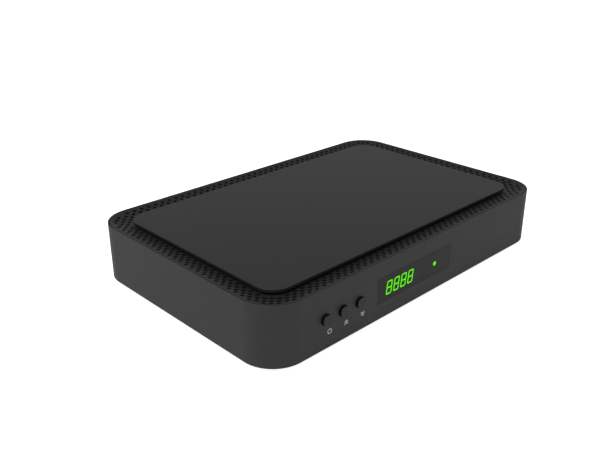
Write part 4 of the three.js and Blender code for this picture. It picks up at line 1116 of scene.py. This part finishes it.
def stroke(name, line):
    """A band of even width along a line of (x, z) points, raised off the wall by the ink. It is a
    stack too: its rings are the band's cross sections, one at each point of the line."""
    line = np.array(line)
    ahead = np.roll(line, -1, 0) - line
    behind = line - np.roll(line, 1, 0)
    ahead[-1], behind[0] = behind[-1], ahead[0]
    ahead /= np.linalg.norm(ahead, axis=1)[:, None]
    behind /= np.linalg.norm(behind, axis=1)[:, None]
    normal = np.stack([-(ahead + behind)[:, 1], (ahead + behind)[:, 0]], 1)
    normal /= np.linalg.norm(normal, axis=1)[:, None]
    across = np.stack([-ahead[:, 1], ahead[:, 0]], 1)
    offset = normal * STROKE / 2 / (normal * across).sum(1)[:, None]
    corners = np.stack([line + offset, line - offset, line - offset, line + offset], 1)
    depths = np.broadcast_to(front_y - np.array([INK_GAP, INK_GAP, INK, INK]), (len(line), 4))
    ring = np.dstack([corners[..., 0], corners[..., 1], depths])
    return stacked(name, ring, "Y")


def joined(name, pieces):
    """Several separate solids as one object."""
    whole = bmesh.new()
    for piece in pieces:
        whole.from_mesh(piece.data)
        bpy.data.objects.remove(piece)
    mesh = bpy.data.meshes.new(name)
    whole.to_mesh(mesh)
    whole.free()
    made = bpy.data.objects.new(name, mesh)
    bpy.context.scene.collection.objects.link(made)
    return made


MARK_X = {"power": 2.9 * MM, "channel_up": 2.55 * MM, "channel_down": 2.55 * MM}
MARK_DROP = 7.9 * MM
RING = 1.35 * MM
CHEVRON = 1.25 * MM
CHEVRON_RISE = 0.6 * MM
for name, place in buttons.items():
    x, z = place.x + MARK_X[name], place.z - MARK_DROP
    if name == "power":
        turn = np.radians(np.linspace(125, 415, 30))
        around = np.stack([x + RING * np.cos(turn), z + RING * np.sin(turn)], 1)
        parts = [stroke("ring", around), stroke("bar", [(x, z + 0.35 * RING), (x, z + 1.3 * RING)])]
    else:
        sign = 1 if name == "channel_up" else -1
        arrow = np.array([(-CHEVRON, -1), (0, 1), (CHEVRON, -1)]) * (1, sign * CHEVRON_RISE)
        parts = [stroke("arm", arrow + (x, z + dz)) for dz in (-CHEVRON_RISE, CHEVRON_RISE)]
    complete(joined(f"{name}_mark", parts), "chassis", "case_plastic", ink)

# %% [markdown]
# ## Feet
#
# Four round rubber feet are pressed into pockets in the floor. Their edges are soft, and a shallow
# dimple in the sole lets them grip, as a suction cup does.

# %% Turn the feet
FOOT_ROUND = 0.6 * MM
DIMPLE = 0.35 * MM
DIMPLE_MIDDLE, DIMPLE_EDGE, SOLE_EDGE = 1.5 * MM, 2 * MM, 1.6 * MM
sole = quarter_round(FOOT_ROUND, 5)
for i, place in enumerate(feet, 1):
    low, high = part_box(f"foot_{i}")
    profile = [(DIMPLE_MIDDLE, low.z + DIMPLE), (FOOT_RADIUS - DIMPLE_EDGE, low.z + DIMPLE)]
    profile += [(FOOT_RADIUS - SOLE_EDGE, low.z)]
    profile += [(FOOT_RADIUS - inset, low.z + rise) for inset, rise in sole]
    profile += [(FOOT_RADIUS, high.z)]
    pad = turned(f"foot_pad_{i}", profile, "Z", (place.x, place.y, 0), 64)
    complete(pad, "chassis", "foot_rubber", stands_for=[f"foot_{i}"])

# %% [markdown]
# ## Screws
#
# The four case screws stand head down in their deep holes. Each is turned, and two crossed bars are
# cut out of its head.

# %% Turn the case screws
CROSS_LONG, CROSS_WIDE, CROSS_DEEP = 2.1 * MM, 0.35 * MM, 1.1 * MM
HEAD_RISE, HEAD_ROUND, TIP = 2 * MM, 0.7 * MM, 0.8 * MM
head = quarter_round(HEAD_ROUND, 5)
for i, place in enumerate(case_screws, 1):
    low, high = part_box(f"case_screw_{i}")
    seat = low.z + HEAD_RISE
    profile = [(SCREW_HEAD - inset, low.z + rise) for inset, rise in head]
    profile += [(SCREW_HEAD, seat), (SCREW_SHANK, seat), (SCREW_SHANK, high.z - TIP)]
    profile += [(SCREW_SHANK - TIP, high.z)]
    fastener = turned(f"cross_screw_{i}", profile, "Z", (place.x, place.y, 0), 48)
    foot_z, deep_z = low.z - MM, low.z + CROSS_DEEP
    bars = [
        block("bar", (place.x - a, place.y - b, foot_z), (place.x + a, place.y + b, deep_z))
        for a, b in ((CROSS_LONG, CROSS_WIDE), (CROSS_WIDE, CROSS_LONG))
    ]
    combine(fastener, bars, "DIFFERENCE")
    complete(fastener, "chassis", "black_screw", stands_for=[f"case_screw_{i}"])

# %% [markdown]
# ## Sockets
#
# A socket is a body with a mouth cut into its face. The shape of the mouth is what tells one socket
# from another: a flattened hexagon for video, a wide slot for the serial bus, a stepped opening for
# the network. Inside sit the parts of other materials: a plastic tongue, gilt contacts, a pin.

# %% Cut the sockets
hexagon = np.array(
    [(-6.95, 2.2), (-6.95, -0.6), (-5.4, -2.2), (5.4, -2.2), (6.95, -0.6), (6.95, 2.2)]
)


def slot_outline(width, z0, z1):
    """A rectangle of (x, z) points, `width` wide, between two heights."""
    return np.array([(-width / 2, z0), (width / 2, z0), (width / 2, z1), (-width / 2, z1)])


def round_outline(radius, sides=48):
    """A circle of (x, z) points."""
    angle = np.arange(sides) * 2 * np.pi / sides
    return radius * np.stack([np.cos(angle), np.sin(angle)], 1)


MOUTHS = {
    "hdmi_port": [(hexagon, 9)],
    "usb_port": [(slot_outline(12.5, -2.55, 2.55), 11)],
    "ethernet_jack": [
        (slot_outline(11.8, -3.1, 4.3), 13),
        (slot_outline(6.2, -4.7, -2.7), 13),
        (slot_outline(3.6, -5.7, -3.7), 13),
    ],
    "dc_jack": [(round_outline(3.1), 9)],
    "av_jack": [(round_outline(1.8), 11), (round_outline(2.8), 0.6)],
    "optical_audio_port": [(slot_outline(6.6, -3.3, 3.3), 9)],
}
CORNER = 0.4 * MM
LIP = 0.15 * MM
LINING = np.array([5.95, 14, 5.75]) * MM
faces_at = {}
for name, mouths in MOUTHS.items():
    low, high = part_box(name)
    middle = (low + high) / 2
    faces_at[name] = (middle.x, high.y, middle.z)
    shoulder = quarter_round(LIP, 3)[::-1]
    rows = [(0, low.y)] + [(inset, high.y - rise) for inset, rise in shoulder]
    rings = rectangles(high.x - low.x, high.z - low.z, CORNER, rows, 4)
    body = stacked(name + "_body", rings, "Y", (middle.x, 0, middle.z))
    cutters = []
    for outline, deep in mouths:
        cutters.append(drawn_out("mouth", outline * MM, high.y - deep * MM, high.y + MM, middle))
    combine(body, cutters, "DIFFERENCE")
    complete(body, "chassis", slot_of[name], stands_for=[name])


def in_network_mouth(centres):
    """True for faces within the network jack's opening, which is lined with black plastic."""
    away = np.abs(centres - faces_at["ethernet_jack"])
    return (away < LINING).all(1) & (away[:, 1] > INK_GAP)


second_finish(bpy.data.objects["ethernet_jack_body"], finishes["socket_plastic"], in_network_mouth)
print("socket faces at", {name: round(at[1] / MM, 2) for name, at in faces_at.items()})

# %% [markdown]
# Tongues and contacts are plain bars, but many of them, so one function lays a row of bars in a
# socket, and each row becomes one object.


# %% Fit the tongues, contacts and pins
def bars_in(name, socket, places, width, depths, heights, dip=0.0):
    """Bars along Y in a socket: at each x of places, between two depths behind the face and two
    heights about the middle. `dip` lowers their front ends, for springs that slope."""
    x, face_y, z = faces_at[socket]
    made = []
    for place in places:
        low = (x + (place - width / 2) * MM, face_y - depths[0] * MM, z + heights[0] * MM)
        high = (x + (place + width / 2) * MM, face_y - depths[1] * MM, z + heights[1] * MM)
        bar = block("bar", low, high)
        points = np.empty(3 * len(bar.data.vertices), np.float32)
        bar.data.vertices.foreach_get("co", points)
        in_front = points[1::3] > (low[1] + high[1]) / 2
        points[2::3] -= dip * MM * in_front
        bar.data.vertices.foreach_set("co", points)
        made.append(bar)
    return joined(name, made)


tongues = [
    bars_in("hdmi_tongue", "hdmi_port", [0], 11, (9.2, 1), (-0.15, 0.75)),
    bars_in("usb_tongue", "usb_port", [0], 11.1, (11.2, 1), (0.3, 2)),
]
for tongue in tongues:
    complete(tongue, "chassis", "socket_plastic")
springs = np.arange(-3.57, 3.6, 1.02)
contacts = [
    bars_in("hdmi_contacts_over", "hdmi_port", np.arange(-4.5, 5), 0.45, (9, 1.4), (0.75, 0.82)),
    bars_in("hdmi_contacts_under", "hdmi_port", np.arange(-4, 5), 0.45, (9, 1.4), (-0.22, -0.15)),
    bars_in("usb_contacts", "usb_port", [-3.5, -1, 1, 3.5], 1.1, (11, 1.6), (0.2, 0.3)),
    bars_in("network_contacts", "ethernet_jack", springs, 0.35, (12.9, 3), (3.85, 4.1), 2.2),
]
for row_of_contacts in contacts:
    complete(row_of_contacts, "chassis", "socket_plating", gold)



def behind_face(socket, profile):
    """A profile of (radius, depth) in mm as (radius, y), and the socket's axis."""
    x, face_y, z = faces_at[socket]
    return [(radius * MM, face_y - depth * MM) for radius, depth in profile], (x, 0, z)


profile, at = behind_face("dc_jack", [(1, 9.2), (1, 1.6), (0.8, 1.2), (0.4, 1)])
complete(turned("dc_pin", profile, "Y", at, 32), "chassis", "socket_plating")
profile, at = behind_face("av_jack", [(2.75, 0.55), (2.75, 0.1), (2.65, 0)])
collar = turned("av_collar", profile, "Y", at, 48)
profile, at = behind_face("av_jack", [(1.8, 1), (1.8, 0.2), (2.2, -0.2)])
combine(collar, [turned("bore", profile, "Y", at, 48)], "DIFFERENCE")
complete(collar, "chassis", "socket_plating")

# %% [markdown]
# The two antenna sockets are threaded. A thread is a groove that climbs as it goes round, so the
# radius of the barrel depends on the angle and on the height together: where `height / pitch -
# turns` is a whole number there is a crest, and halfway between there is a root.


# %% Cut the antenna threads
def threaded(radius, depth, pitch, low, high, sides=48, steps=8):
    """Rings with a thread: radius less depth * |2 * phase - 1|, where phase is the fraction of
    height / pitch less angle / turn. The thread fades out over one pitch at both ends."""
    angle = np.arange(sides) * 2 * np.pi / sides
    y = np.linspace(low, high, int((high - low) / pitch * steps))[:, None]
    phase = (y / pitch - angle / (2 * np.pi)) % 1
    fade = np.clip(np.minimum(y - low, high - y) / pitch, 0, 1)
    reach = radius - depth * fade * np.abs(2 * phase - 1)
    heights = np.broadcast_to(y, reach.shape)
    return np.dstack([reach * np.cos(angle), reach * np.sin(angle), heights])


BARREL, SOCKET_FLANGE = 4.7 * MM, 6 * MM
THREAD_DEPTH, THREAD_PITCH = 0.4 * MM, 0.794 * MM
THREAD_FROM, THREAD_TO = 0.4 * MM, 0.5 * MM
BARREL_MOUTH, MOUTH_DEPTH = 3.3 * MM, 0.8 * MM
DISC, DISC_FRONT, DISC_BACK = 3.25 * MM, 0.5 * MM, 0.75 * MM
WELL, WELL_FROM = 0.7 * MM, 2 * MM
insulator = grained("insulator", (0.62, 0.61, 0.57), 0.45, 2000.0, 0.01 * MM, 0.04)
for name in ("antenna_in_socket", "antenna_out_socket"):
    low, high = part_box(name)
    middle = (low + high) / 2
    at = (middle.x, 0, middle.z)
    flange_y = panel_low.y - FIT
    start, end = panel_high.y + THREAD_FROM, high.y - THREAD_TO
    before = circles([(SOCKET_FLANGE, low.y), (SOCKET_FLANGE, flange_y), (BARREL, flange_y)])
    mouth = [(BARREL - THREAD_TO, high.y), (BARREL_MOUTH, high.y)]
    after = circles([*mouth, (BARREL_MOUTH, high.y - MOUTH_DEPTH)])
    thread = threaded(BARREL, THREAD_DEPTH, THREAD_PITCH, start, end)
    barrel = stacked(name + "_barrel", np.concatenate([before, thread, after]), "Y", at)
    disc = [(DISC, high.y - DISC_BACK), (DISC, high.y - DISC_FRONT)]
    face = turned(name + "_insulator", disc, "Y", at, 48)
    well = [(WELL, panel_high.y + WELL_FROM), (WELL, high.y + MM)]
    for piece in (barrel, face):
        combine(piece, [turned("well", well, "Y", at, 24)], "DIFFERENCE")
    complete(barrel, "chassis", "socket_plating", stands_for=[name])
    complete(face, "chassis", "socket_plastic", insulator)

# %% [markdown]
# ## What stays as the CAD drew it
#
# The boards, the screws and the drive are plain shapes that hardly show, and their CAD solids are
# right as they are. They only need their finishes, which go into the material slots they came with.

# %% Dress the other parts
for name, node in nodes.items():
    for slot in node.material_slots:
        slot.material = finishes[slot_of[name]]
shown = [name for name, node in nodes.items() if not node.hide_render]
print(len(shown), "CAD parts show, of", len(nodes))

# %% [markdown]
